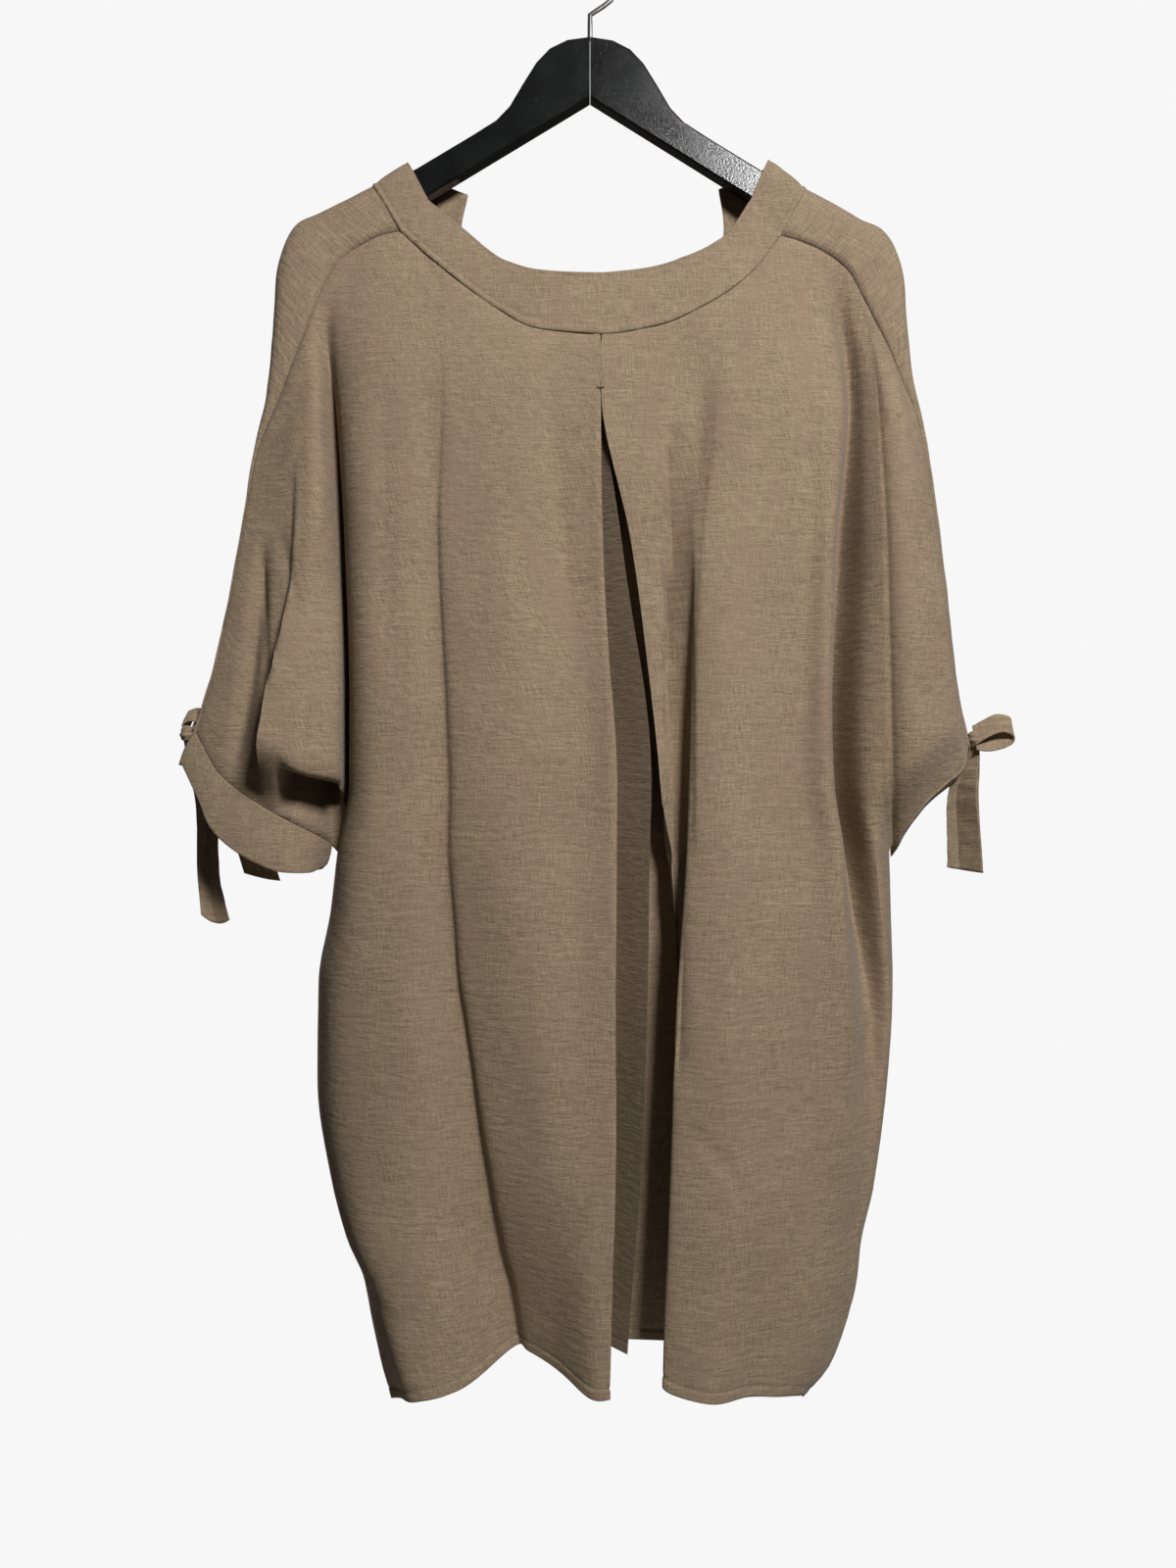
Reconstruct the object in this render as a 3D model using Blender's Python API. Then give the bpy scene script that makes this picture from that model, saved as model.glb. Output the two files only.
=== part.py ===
"""A linen tunic top with dolman sleeves on a flat wooden hanger, at real size.

Metres, +Z up. The pleated side faces -Y, X runs along the shoulders, and the origin is the
point where the hanger's hook rests on its rod. Every cloth piece is a thin wall. Tables are in
millimetres and name their columns; "share" and "along" columns run from 0 to 1.
"""

import math

import bmesh
import bpy
from mathutils import Vector

MM = 0.001
WALL = 1.5  # linen with its turnings
SEAM_GAP = 0.3

ARM_THICKNESS = 13.0
ARM_EASING = 1.6
ARM_LOWER_APEX = -109.0
ARM_LOWER_SLOPE = 0.613
ARM_TIP_X = 222.0
ARM_TIP_REACH = 11.0
HANGER_TILT = 0.0096  # the right arm hangs a little lower
MITRE_GAP = 0.3
HOOK_WIRE = 3.8
HOOK_BEND = 19.0

UPPER_ROWS = (0, 0.06, 0.14, 0.24, 0.36, 0.48, 0.60, 0.71, 0.79, 0.86, 0.90, 0.945, 1.0)
LOWER_ROWS = 9
SEATED_REACH = 0.40  # share of the upper rows over which a top edge's own shape fades
HIDDEN_DROP = 1.2  # mm that the pleat's inner layers stop below the neckband
MOST_STRETCH = 1.45  # how much wider than its own wall a mitred seam may be


# ---------------------------------------------------------------- tables and small sums


def clamp(value, low=0.0, high=1.0):
    return max(low, min(high, value))


def ease(start, end, value):
    """A soft step from 0 at start to 1 at end."""
    share = clamp((value - start) / (end - start))
    return share * share * (3 - 2 * share)


def mix(first, second, share):
    return first + (second - first) * share


class Table:
    """Rows of named columns, read along a smooth curve that never overshoots its rows."""

    def __init__(self, columns, *rows):
        self.names = columns.split()
        self.rows = sorted(rows, key=lambda row: row[0])

    def column(self, name):
        place = self.names.index(name)
        return [row[place] for row in self.rows]

    def at(self, key, name):
        return read_curve(self.column(self.names[0]), self.column(name), key)


def tangent(keys, values, place):
    """The slope at one row: none at a peak, else the gentler of the mean slopes."""
    if place in (0, len(keys) - 1):
        near = 1 if place == 0 else place - 1
        return (values[place] - values[near]) / (keys[place] - keys[near])
    before = (values[place] - values[place - 1]) / (keys[place] - keys[place - 1])
    after = (values[place + 1] - values[place]) / (keys[place + 1] - keys[place])
    if before * after <= 0:
        return 0.0
    return 2 * before * after / (before + after)


def read_curve(keys, values, key):
    if key <= keys[0]:
        return values[0]
    if key >= keys[-1]:
        return values[-1]
    place = max(i for i, start in enumerate(keys) if start <= key)
    span = keys[place + 1] - keys[place]
    t = (key - keys[place]) / span
    leave = tangent(keys, values, place) * span
    arrive = tangent(keys, values, place + 1) * span
    start, end = values[place], values[place + 1]
    return (
        start * (2 * t**3 - 3 * t**2 + 1)
        + leave * (t**3 - 2 * t**2 + t)
        + end * (3 * t**2 - 2 * t**3)
        + arrive * (t**3 - t**2)
    )


def through(before, start, end, after, t):
    """A smooth curve between start and end, aimed by the points before and after them."""
    leave = (end - before) * 0.5
    arrive = (after - start) * 0.5
    return (
        start * (2 * t**3 - 3 * t**2 + 1)
        + leave * (t**3 - 2 * t**2 + t)
        + end * (3 * t**2 - 2 * t**3)
        + arrive * (t**3 - t**2)
    )


# ---------------------------------------------------------------- solids


def material(name, colour, roughness, metallic=0.0):
    made = bpy.data.materials.new(name)
    made.use_nodes = True
    shader = made.node_tree.nodes["Principled BSDF"]
    shader.inputs["Base Color"].default_value = (*colour, 1.0)
    shader.inputs["Roughness"].default_value = roughness
    shader.inputs["Metallic"].default_value = metallic
    return made


def add_object(name, vertices, faces, finish):
    mesh = bpy.data.meshes.new(name)
    mesh.from_pydata([vertex * MM for vertex in vertices], [], faces)
    mesh.materials.append(finish)
    mesh.shade_smooth()
    made = bpy.data.objects.new(name, mesh)
    bpy.context.scene.collection.objects.link(made)
    return made


def cells_of(grid, ring):
    """The four corners of each cell of a grid whose rows may be a ring, or hold gaps (None)."""
    for i in range(len(grid) - 1):
        columns = len(grid[i])
        for j in range(columns if ring else columns - 1):
            corners = ((i, j), (i + 1, j), (i + 1, (j + 1) % columns), (i, (j + 1) % columns))
            if all(grid[a][b] is not None for a, b in corners):
                yield corners


def sheet_facings(grid, ring, outward):
    """The cloth's outer facing at each grid point, longer where the cloth folds sharply.

    outward gives, for a point, a way that most of the cloth faces.
    """
    cells = {}
    leaning = 0.0
    for corners in cells_of(grid, ring):
        points = [grid[a][b] for a, b in corners]
        facing = (points[2] - points[0]).cross(points[3] - points[1])
        leaning += facing.dot(outward(points[0]))
        for corner in corners:
            cells.setdefault(corner, []).append(facing.normalized())
    facings = {}
    for corner, around in cells.items():
        mean = sum(around, Vector((0, 0, 0))) / len(around)
        stretch = min(1 / max(mean.length, 0.1), MOST_STRETCH)
        facings[corner] = mean.normalized() * math.copysign(stretch, leaning)
    return facings


class Sheet:
    """One piece of cloth: a grid of points, with facings and seam gaps, walled when solid."""

    def __init__(self, grid, outward, ring=False):
        self.grid = grid
        self.ring = ring
        self.facings = sheet_facings(grid, ring, outward)
        self.own = {corner: facing.normalized() for corner, facing in self.facings.items()}
        self.shifts = {}

    def point(self, corner):
        return self.grid[corner[0]][corner[1]]

    def meet(self, corner, facing, shift):
        self.facings[corner] = facing
        self.shifts.setdefault(corner, []).append(shift)

    def shift_of(self, corner):
        """One shift per seam; two seams in one line count once."""
        shifts = self.shifts.get(corner, [])
        total = sum(shifts, Vector((0, 0, 0)))
        in_line = len(shifts) == 2 and shifts[0].normalized().dot(shifts[1].normalized()) > 0.6
        return total / 2 if in_line else total

    def solid(self, name, finish, thickness=WALL):
        """A closed wall: the points moved half a thickness to each side."""
        order = {corner: number for number, corner in enumerate(self.facings)}
        count = len(order)
        middle = {corner: self.point(corner) + self.shift_of(corner) for corner in order}
        front = [middle[corner] + self.facings[corner] * (thickness / 2) for corner in order]
        back = [middle[corner] - self.facings[corner] * (thickness / 2) for corner in order]
        faces = []
        edges = set()
        for corners in cells_of(self.grid, self.ring):
            ids = [order[corner] for corner in corners]
            faces.append(ids)
            faces.append([count + i for i in reversed(ids)])
            edges.update((ids[k], ids[(k + 1) % 4]) for k in range(4))
        for first, second in edges:
            if (second, first) not in edges:
                faces.append([second, first, count + first, count + second])
        made = add_object(name, front + back, faces, finish)
        face_outward(made.data)
        return made


def face_outward(mesh):
    """Turns every face round where the closed wall came out inside out."""
    body = bmesh.new()
    body.from_mesh(mesh)
    if body.calc_volume(signed=True) < 0:
        bmesh.ops.reverse_faces(body, faces=body.faces)
    body.to_mesh(mesh)
    body.free()


def sew(first, corners, second, places):
    """Joins two sheets along an edge: both walls take one mitre, half the seam gap off it.

    corners run along the first sheet's edge; places lists the second sheet's corners there
    with their position along that run, whole numbers where the two sheets share a point.
    """
    mates = {round(position): corner for corner, position in places
             if abs(position - round(position)) < 1e-6}
    frames = []
    leaning = 0.0
    for k, corner in enumerate(corners):
        own, other = first.own[corner], second.own[mates[k]]
        shared = (own + other).normalized()
        stretch = min(1 / max(shared.dot(own), 0.1), MOST_STRETCH)
        run = first.point(corners[min(k + 1, len(corners) - 1)])
        run = run - first.point(corners[max(k - 1, 0)])
        away = run.cross(shared).normalized() * (SEAM_GAP / 2)
        leaning += away.dot(inward_step(first, corner, corners))
        frames.append((shared * stretch, away))
    if leaning < 0:
        frames = [(facing, -away) for facing, away in frames]
    for corner, (facing, away) in zip(corners, frames):
        first.meet(corner, facing, away)
    for corner, position in places:
        k = min(int(position + 1e-6), len(frames) - 2)
        facing = mix(frames[k][0], frames[k + 1][0], position - k)
        second.meet(corner, facing, -mix(frames[k][1], frames[k + 1][1], position - k))


def inward_step(sheet, corner, edge):
    """From an edge point into its sheet: toward the neighbours that aren't on that edge."""
    total = Vector((0, 0, 0))
    row, column = corner
    for a in (-1, 0, 1):
        for b in (-1, 0, 1):
            near = (row + a, column + b)
            if near in sheet.own and near not in edge:
                total += sheet.point(near) - sheet.point(corner)
    return total


def share_corner(*members):
    """Gives all sheets that meet in one point the same facing there."""
    total = sum((sheet.own[corner] for sheet, corner in members), Vector((0, 0, 0)))
    for sheet, corner in members:
        sheet.facings[corner] = total.normalized()


def part_corner(sheet, corner, ways):
    """Where three sheets meet: this one keeps its own facing, and clears each way given."""
    own = sheet.own[corner]
    sheet.facings[corner] = own
    sheet.shifts[corner] = [way * (SEAM_GAP / 2 + WALL / 2 * abs(own.dot(way))) for way in ways]


def lay_together(first, second, pairs, way):
    """Two sheets' edges on one line: each moves aside until its wall is half a gap off it."""
    for corner, mate in pairs:
        part_corner(first, corner, [way])
        part_corner(second, mate, [-way])


# ---------------------------------------------------------------- hanger

# Half of the hanger's upper edge, from the middle of the hump to the tip of the arm.
ARM_TOP = Table(
    "across height",
    (0, -63.0),
    (17, -65.5),
    (30, -72.0),
    (40, -82.5),
    (50, -98.5),
    (60, -115.5),
    (70, -126.0),
    (88, -137.5),
    (130, -163.0),
    (160, -177.8),
    (ARM_TIP_X, -210.8),
)


def arm_outline():
    """One half seen from the front: along the top, round the tip, back along the lower edge."""
    top = [(max(x, MITRE_GAP / 2), ARM_TOP.at(x, "height")) for x in ARM_TOP.column("across")[:-1]]
    round_x = ARM_TIP_X - ARM_TIP_REACH
    upper = ARM_TOP.at(round_x, "height")
    lower = ARM_LOWER_APEX - ARM_LOWER_SLOPE * round_x
    tip = []
    for step in range(7):
        turn = math.radians(90 - 30 * step)
        height = mix(lower, upper, (1 + math.sin(turn)) / 2)
        tip.append((round_x + ARM_TIP_REACH * math.cos(turn), height))
    return top + tip + [(MITRE_GAP / 2, ARM_LOWER_APEX)]


def inset_outline(outline):
    """The outline moved in by the easing, but for the joint's ends, which stay in its plane."""
    result = []
    count = len(outline)
    for i, (x, z) in enumerate(outline):
        point = Vector((x, z))
        before = (point - Vector(outline[i - 1])).normalized()
        after = (Vector(outline[(i + 1) % count]) - point).normalized()
        inward = Vector((before.y + after.y, -before.x - after.x)).normalized()
        moved = point + inward * ARM_EASING
        if i == 0:
            moved = Vector((x, z - ARM_EASING))
        if i == count - 1:
            moved = Vector((x, z + ARM_EASING))
        result.append((moved.x, moved.y))
    return result


def build_arm(name, side, finish):
    """A mitred half: its outline extruded through the thickness, with eased long edges."""
    full = arm_outline()
    inset = inset_outline(full)
    half = ARM_THICKNESS / 2
    eased = half - ARM_EASING
    vertices = []
    for depth, outline in ((-half, inset), (-eased, full), (eased, full), (half, inset)):
        vertices += [Vector((side * x, depth, z - HANGER_TILT * side * x)) for x, z in outline]
    count = len(full)
    faces = [list(reversed(range(count))), [3 * count + i for i in range(count)]]
    for start in (0, count, 2 * count):
        for i in range(count):
            j = (i + 1) % count
            faces.append([start + i, start + j, start + count + j, start + count + i])
    if side < 0:
        faces = [list(reversed(face)) for face in faces]
    return add_object(name, vertices, faces, finish)


def build_hook(finish):
    """A bent wire: a shank from the hump's top, and a round bend open at one side."""
    spline_points = []
    for step in range(3):
        spline_points.append((0.0, mix(-62.7, -44.0, step / 2)))
    centre = -HOOK_BEND - HOOK_WIRE / 2
    for degrees in range(-60, 211, 18):
        turn = math.radians(degrees)
        radius = HOOK_BEND + HOOK_WIRE / 2
        spline_points.append((radius * math.cos(turn), HOOK_WIRE / 2 + centre + radius * math.sin(turn)))
    curve = bpy.data.curves.new("hanger_hook", "CURVE")
    curve.dimensions = "3D"
    curve.bevel_depth = HOOK_WIRE / 2 * MM
    curve.bevel_resolution = 2
    curve.use_fill_caps = True
    spline = curve.splines.new("POLY")
    spline.points.add(len(spline_points) - 1)
    for place, (x, z) in zip(spline.points, spline_points):
        place.co = (x * MM, 0, z * MM, 1)
    curve.materials.append(finish)
    made = bpy.data.objects.new("hanger_hook", curve)
    bpy.context.scene.collection.objects.link(made)
    return made


# ---------------------------------------------------------------- seams

# The neck from the left strip seam to the right one: the band's free edge and its seam.
NECK_PLEATED = Table(
    "along inner_x inner_z inner_y outer_x outer_z outer_y",
    (0.00, -120, -188, -11, -139, -211.5, -13),
    (0.12, -94, -210, -14, -112, -236, -17),
    (0.25, -62, -235, -17, -69, -270, -22),
    (0.37, -33, -243, -19, -39, -286, -26),
    (0.50, 4, -245, -20, 8, -290.7, -28),
    (0.63, 42, -241, -19, 50, -284, -27),
    (0.75, 71, -232, -18, 83, -269, -24),
    (0.88, 100, -215, -14.5, 117, -244, -19),
    (1.00, 119.5, -187, -11, 140, -214, -13),
)
NECK_PLAIN = Table(
    "along inner_x inner_z inner_y outer_x outer_z outer_y",
    (0.00, -93, -172, 15, -139, -211.5, 13),
    (0.12, -98, -200, 15, -134, -238, 16),
    (0.25, -90, -238, 17, -117, -277, 19),
    (0.37, -60, -276, 20, -74, -318, 22),
    (0.50, 2, -294, 22, 3, -337, 24),
    (0.63, 62, -275, 20, 76, -317, 22),
    (0.75, 93, -236, 17, 118, -276, 19),
    (0.88, 102, -198, 15, 135, -238, 16),
    (1.00, 98, -168, 15, 140, -214, 13),
)

# Each strip over a shoulder and down a sleeve: its seam on the pleated side, and its ridge.
STRIP_LEFT = Table(
    "along seam_x seam_z seam_y ridge_x ridge_z",
    (0.00, -139, -211.5, 13, -161, -174.5),
    (0.06, -154, -214, 13, -180, -185),
    (0.13, -171, -222, 13, -201, -195),
    (0.20, -185, -233, 14, -217, -203),
    (0.27, -195, -248, 15, -228, -220),
    (0.35, -206, -274, 16, -233.5, -244),
    (0.44, -218, -304, 15, -236, -284),
    (0.54, -232, -338, 12, -241, -330),
    (0.63, -247, -371, 8, -250.5, -371),
    (0.74, -259, -428, 8, -260, -430),
    (0.84, -268, -480, 9, -269, -484),
    (0.92, -279, -530, 9, -280, -535),
    (1.00, -293, -583, 10, -296, -584),
)
STRIP_RIGHT = Table(
    "along seam_x seam_z seam_y ridge_x ridge_z",
    (0.00, 140, -214, 13, 160, -177),
    (0.06, 158, -219.5, 13, 180, -187.5),
    (0.13, 176, -228, 13, 201, -199.5),
    (0.20, 191, -240, 13, 217, -207.3),
    (0.27, 201, -257, 13, 228, -223),
    (0.35, 208, -272, 14, 233.5, -245),
    (0.44, 219, -294, 14, 236, -276),
    (0.54, 231, -320, 11, 240.5, -318),
    (0.63, 242, -344, 8, 247.5, -346),
    (0.74, 256, -410, 8, 258, -412),
    (0.84, 265, -478, 9, 266, -482),
    (0.92, 271, -535, 9, 272, -540),
    (1.00, 280, -592, 10, 283, -592),
)

# The sleeve ends: the cuff's seam from the strip to the underarm, and the cuff's free edge.
CUFF_LEFT = Table(
    "along seam_x seam_z near_y far_y edge_x edge_z edge_near_y edge_far_y",
    (0.00, -293, -583, -10, 10, -303, -606, -11, 10),
    (0.15, -275, -612, -17, 15, -289, -632, -18, 15),
    (0.30, -259, -625, -23, 18, -278, -653, -25, 18),
    (0.45, -245, -634, -27, 19, -261, -668, -31, 20),
    (0.60, -231, -642, -30, 18, -243, -678, -35, 19),
    (0.75, -218, -649, -30, 15, -223, -685, -36, 17),
    (0.90, -202, -659, -18, 8, -206, -686, -26, 11),
    (1.00, -194, -666, -1, -1, -197, -681, -2, -2),
)
CUFF_RIGHT = Table(
    "along seam_x seam_z near_y far_y edge_x edge_z edge_near_y edge_far_y",
    (0.00, 280, -592, -10, 10, 281, -602, 4, 25),
    (0.15, 277, -606, -15, 14, 277.5, -614, 3, 31),
    (0.35, 262, -621, -18, 17, 262.5, -628, 2, 35),
    (0.55, 247, -635, -18, 18, 247.5, -642, 2, 36),
    (0.75, 237, -649, -14, 16, 238, -656, 4, 33),
    (0.90, 230.5, -660, -8, 10, 232, -668, 6, 25),
    (1.00, 227, -667, 0, 0, 229, -676, 13, 13),
)

# The body's sides: down the sleeve's hollow to the underarm, then the side seam to the hem.
UNDERARM = -672.0
SIDES_TOP = -262.0
SIDES_HEM = -1065.0
SIDES = Table(
    "height left_x left_y right_x right_y",
    (SIDES_TOP, -199, -15, 203, -13),
    (-340, -190, -3, 210, -20),
    (-450, -184, 3, 212, -31),
    (-560, -181, 4, 213, -33),
    (-620, -181, 4, 215, -28),
    (UNDERARM, -189, 0, 223, -3),
    (-716, -194, 0, 225, 0),
    (-768, -203, 0, 227, 2),
    (-842, -204, 0, 222, 2),
    (-915, -194, 0, 212, 2),
    (-955, -183, -3, 202, 0),
    (-984, -169, -8, 198, -6),
    (-1017, -160, -17, 188, -15),
    (-1045, -151, -28, 175, -26),
    (SIDES_HEM, -143, -36, 154, -34),
)
FAR_HOLLOW = Table(
    "height left_y right_y",
    (SIDES_TOP, 15, 13),
    (-340, 19, 17),
    (-450, 21, 20),
    (-560, 19, 19),
    (-620, 14, 14),
    (UNDERARM, 1.5, 1.0),
)


# From a strip's seam up to its ridge: the share of the depth left, and of the height gained.
OVER_TURN = ((1.0, 0.0), (0.93, 0.70), (0.50, 0.98), (0.0, 1.0))


def neck_edge(neck, along, edge):
    return Vector([neck.at(along, edge + axis) for axis in ("_x", "_y", "_z")])


def find_along(table, name, value):
    """Where along a table a column whose size only grows reaches a value."""
    low, high = 0.0, 1.0
    rising = table.at(1.0, name) > table.at(0.0, name)
    for _ in range(30):
        middle = (low + high) / 2
        if (table.at(middle, name) < value) == rising:
            low = middle
        else:
            high = middle
    return (low + high) / 2


def strip_seam(strip, along, facing):
    """A point on a strip's seam; facing is -1 on the pleated side and 1 on the plain side."""
    depth = facing * strip.at(along, "seam_y")
    return Vector((strip.at(along, "seam_x"), depth, strip.at(along, "seam_z")))


def over_ridge(seam, ridge):
    """From a seam up to a ridge: a flat side, a turn, and a flat top as wide as the hanger."""
    turn = []
    for depth, rise in OVER_TURN:
        level = mix(seam, ridge, rise)
        turn.append(Vector((level.x, mix(ridge.y, seam.y, depth), level.z)))
    return turn


def seam_at(neck, x, facing):
    """The top of a panel above a given x: its neck seam, or the strip's seam past the neck."""
    left, right = neck.at(0.0, "outer_x"), neck.at(1.0, "outer_x")
    if left <= x <= right:
        return neck_edge(neck, find_along(neck, "outer_x", x), "outer")
    strip = STRIP_LEFT if x < 0 else STRIP_RIGHT
    return strip_seam(strip, find_along(strip, "seam_x", x), facing)


# ---------------------------------------------------------------- the panels' bodies

LEVELS = (-340.0, -450.0, -620.0, -850.0, -1045.0)

# The pleat's own lines. x and y at the seam above and at each level; hem is the lower end.
PLEAT = {
    "left_fold": dict(x=(7.2, 7.2, 8.6, 17, 17.5, 13), y=(-28.5, -38, -46, -58, -70, -80), hem=-1046),
    "left_under": dict(x=(0, -2, -3, 3, 4, -1), y=(-25.8, -34, -39, -46, -56, -64), hem=-1040),
    "left_turn": dict(x=(-12, -13, -14, -9, -6, -8), y=(-23, -27, -28, -30, -34, -36), hem=-1035),
    "back_left": dict(x=(0, 0, 6, 20, 18, 9), y=(-19.4, -21, -21, -21, -21, -22), hem=-1030),
    "back_middle": dict(x=(8, 9, 23, 43.5, 38.5, 25), y=(-18.6, -32, -40, -50, -52, -48), hem=-1028),
    "back_right": dict(x=(18, 18, 31, 51, 46, 35), y=(-19.4, -22, -22, -22, -22, -22), hem=-1028),
    "right_turn": dict(x=(30, 33, 50, 74, 84, 80), y=(-23, -25, -22, -22, -22, -22), hem=-1030),
    "right_under": dict(x=(20, 20, 37, 61, 75, 71), y=(-25.8, -31, -34, -36, -38, -44), hem=-1030),
    "tongue": dict(x=(9.0, 10.2, 30.5, 50.5, 66, 60), y=(-28.5, -38, -44, -50, -44, -56), hem=-1031),
}

# The soft lines of each half. share runs across from the side to the pleat's fold, or from
# the tongue to the other side, at the seam above and at each level.
PLEATED_LEFT = {
    "bank": dict(share=(0.07, 0.04, 0.04, 0.04, 0.04, 0.06), y=(-21, -26, -30, -24, -44), hem=-1061),
    "crest": dict(share=(0.16, 0.13, 0.12, 0.12, 0.13, 0.16), y=(-32, -41, -48, -45, -66), hem=-1054),
    "field": dict(
        top=-139, share=(0.29, 0.29, 0.27, 0.27, 0.35, 0.37), y=(-36, -43, -51, -55, -60), hem=-1047
    ),
    "valley": dict(share=(0.42, 0.405, 0.375, 0.389, 0.535, 0.60), y=(-35, -38, -44, -38, -18), hem=-1031),
    "flank": dict(share=(0.48, 0.47, 0.43, 0.446, 0.586, 0.67), y=(-37, -43, -52, -51, -31), hem=-1031),
    "ridge": dict(share=(0.70, 0.71, 0.675, 0.645, 0.77, 0.79), y=(-38, -49, -60, -65, -54), hem=-1037),
    "shade": dict(share=(0.88, 0.88, 0.88, 0.88, 0.90, 0.92), y=(-36, -42, -54, -67, -78), hem=-1046),
}
PLEATED_RIGHT = {
    "slack": dict(share=(0.22, 0.30, 0.209, 0.13, 0.075, 0.10), y=(-34, -43, -46, -60, -69), hem=-1032),
    "roll": dict(share=(0.34, 0.39, 0.26, 0.12, -0.045, -0.072), y=(-37, -46, -60, -69, -78), hem=-1036),
    "lip": dict(share=(0.38, 0.42, 0.291, 0.155, -0.015, -0.03), y=(-38, -49, -66, -76, -84), hem=-1041),
    "crown": dict(share=(0.46, 0.49, 0.384, 0.27, 0.19, 0.21), y=(-39, -51, -69, -81, -87), hem=-1046),
    "field": dict(share=(0.575, 0.60, 0.517, 0.43, 0.38, 0.42), y=(-38, -47, -61, -70, -74), hem=-1047),
    "ridge": dict(
        top=140, share=(0.675, 0.74, 0.692, 0.61, 0.60, 0.60), y=(-35, -45, -55, -61, -68), hem=-1049
    ),
    "bank": dict(share=(0.80, 0.865, 0.795, 0.739, 0.74, 0.78), y=(-27, -43, -55, -52, -58), hem=-1053),
    "hollow": dict(share=(0.90, 0.92, 0.856, 0.793, 0.875, 0.90), y=(-4, 1, 3, -30, -46), hem=-1058),
    "lobe": dict(share=(0.955, 0.965, 0.944, 0.905, 0.96, 0.96), y=(-14, -24, -26, -25, -36), hem=-1061),
}
PLAIN_BODY = {
    "left_bank": dict(share=(0.07, 0.07, 0.07, 0.07, 0.07, 0.07), y=(21, 24, 26, 20, 8), hem=-1060),
    "left_crest": dict(
        top=-139, share=(0.149, 0.18, 0.18, 0.18, 0.17, 0.17), y=(21, 29, 35, 36, 36), hem=-1052
    ),
    "left_dip": dict(share=(0.30, 0.31, 0.31, 0.31, 0.30, 0.31), y=(22, 24, 26, 25, 19), hem=-1046),
    "left_ridge": dict(share=(0.41, 0.42, 0.43, 0.43, 0.42, 0.43), y=(24, 29, 34, 38, 40), hem=-1043),
    "middle_dip": dict(share=(0.52, 0.53, 0.54, 0.54, 0.54, 0.54), y=(24, 27, 29, 28, 22), hem=-1042),
    "right_ridge": dict(share=(0.64, 0.65, 0.66, 0.66, 0.66, 0.65), y=(23, 29, 36, 39, 39), hem=-1044),
    "right_dip": dict(share=(0.75, 0.76, 0.77, 0.77, 0.77, 0.77), y=(22, 25, 27, 26, 20), hem=-1048),
    "right_crest": dict(
        top=140, share=(0.843, 0.86, 0.87, 0.87, 0.86, 0.86), y=(21, 28, 34, 36, 34), hem=-1053
    ),
    "right_bank": dict(share=(0.93, 0.94, 0.94, 0.94, 0.94, 0.94), y=(20, 23, 24, 19, 8), hem=-1060),
}


class Line:
    """One line down a panel, from its seam to its hem, read at any height."""

    def __init__(self, top, x_at, y_at, hem, kind="soft"):
        self.top = top
        self.x_at = x_at
        self.y_at = y_at
        self.hem = hem
        self.kind = kind

    def point(self, height):
        return Vector((self.x_at(height), self.y_at(height), height))


def level_reader(top, values):
    """Reads a value at any height from its values at the seam above and at each level."""
    keys = [-top, *(-level for level in LEVELS)]
    return lambda height: read_curve(keys, values, -height)


def side_line(side, facing):
    """The body's left or right edge, on the wall of the panel that faces the given way."""
    neck = NECK_PLEATED if facing < 0 else NECK_PLAIN
    top = seam_at(neck, SIDES.at(SIDES_TOP, side + "_x"), facing)

    def y_at(height):
        if height >= top.z - 1e-6:
            return top.y
        if height > UNDERARM:
            hollow = SIDES if facing < 0 else FAR_HOLLOW
            depth = hollow.at(height, side + "_y")
            return mix(depth, top.y, ease(-SIDES_TOP + 45, -top.z, -height))
        return SIDES.at(height, side + "_y")

    def x_at(height):
        return mix(SIDES.at(height, side + "_x"), top.x, ease(-SIDES_TOP + 45, -top.z, -height))

    return Line(top, x_at, y_at, SIDES_HEM)


def soft_line(row, neck, facing, left, right):
    """A soft line whose x is a share of the way between two other lines."""
    top_x = row.get("top", mix(left.top.x, right.top.x, row["share"][0]))
    top = seam_at(neck, top_x, facing)
    share_at = level_reader(top.z, row["share"])

    def x_at(height):
        if height >= top.z - 1e-6:
            return top.x
        return mix(left.x_at(height), right.x_at(height), share_at(height))

    return Line(top, x_at, level_reader(top.z, (top.y, *row["y"])), row["hem"])


def pleat_line(name, row):
    top = seam_at(NECK_PLEATED, row["x"][0], -1)
    top.y = row["y"][0]
    kind = "sharp" if name in ("left_fold", "tongue") else "hidden"
    x_at, y_at = level_reader(top.z, row["x"]), level_reader(top.z, row["y"])
    return Line(top, x_at, y_at, row["hem"], kind)


def pleated_lines():
    left, right = side_line("left", -1), side_line("right", -1)
    pleat = {name: pleat_line(name, row) for name, row in PLEAT.items()}
    fold, tongue = pleat["left_fold"], pleat["tongue"]
    before = [soft_line(row, NECK_PLEATED, -1, left, fold) for row in PLEATED_LEFT.values()]
    after = [soft_line(row, NECK_PLEATED, -1, tongue, right) for row in PLEATED_RIGHT.values()]
    return [left, *before, *pleat.values(), *after, right]


def plain_lines():
    left, right = side_line("left", 1), side_line("right", 1)
    soft = [soft_line(row, NECK_PLAIN, 1, left, right) for row in PLAIN_BODY.values()]
    return [left, *soft, right]


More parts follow.
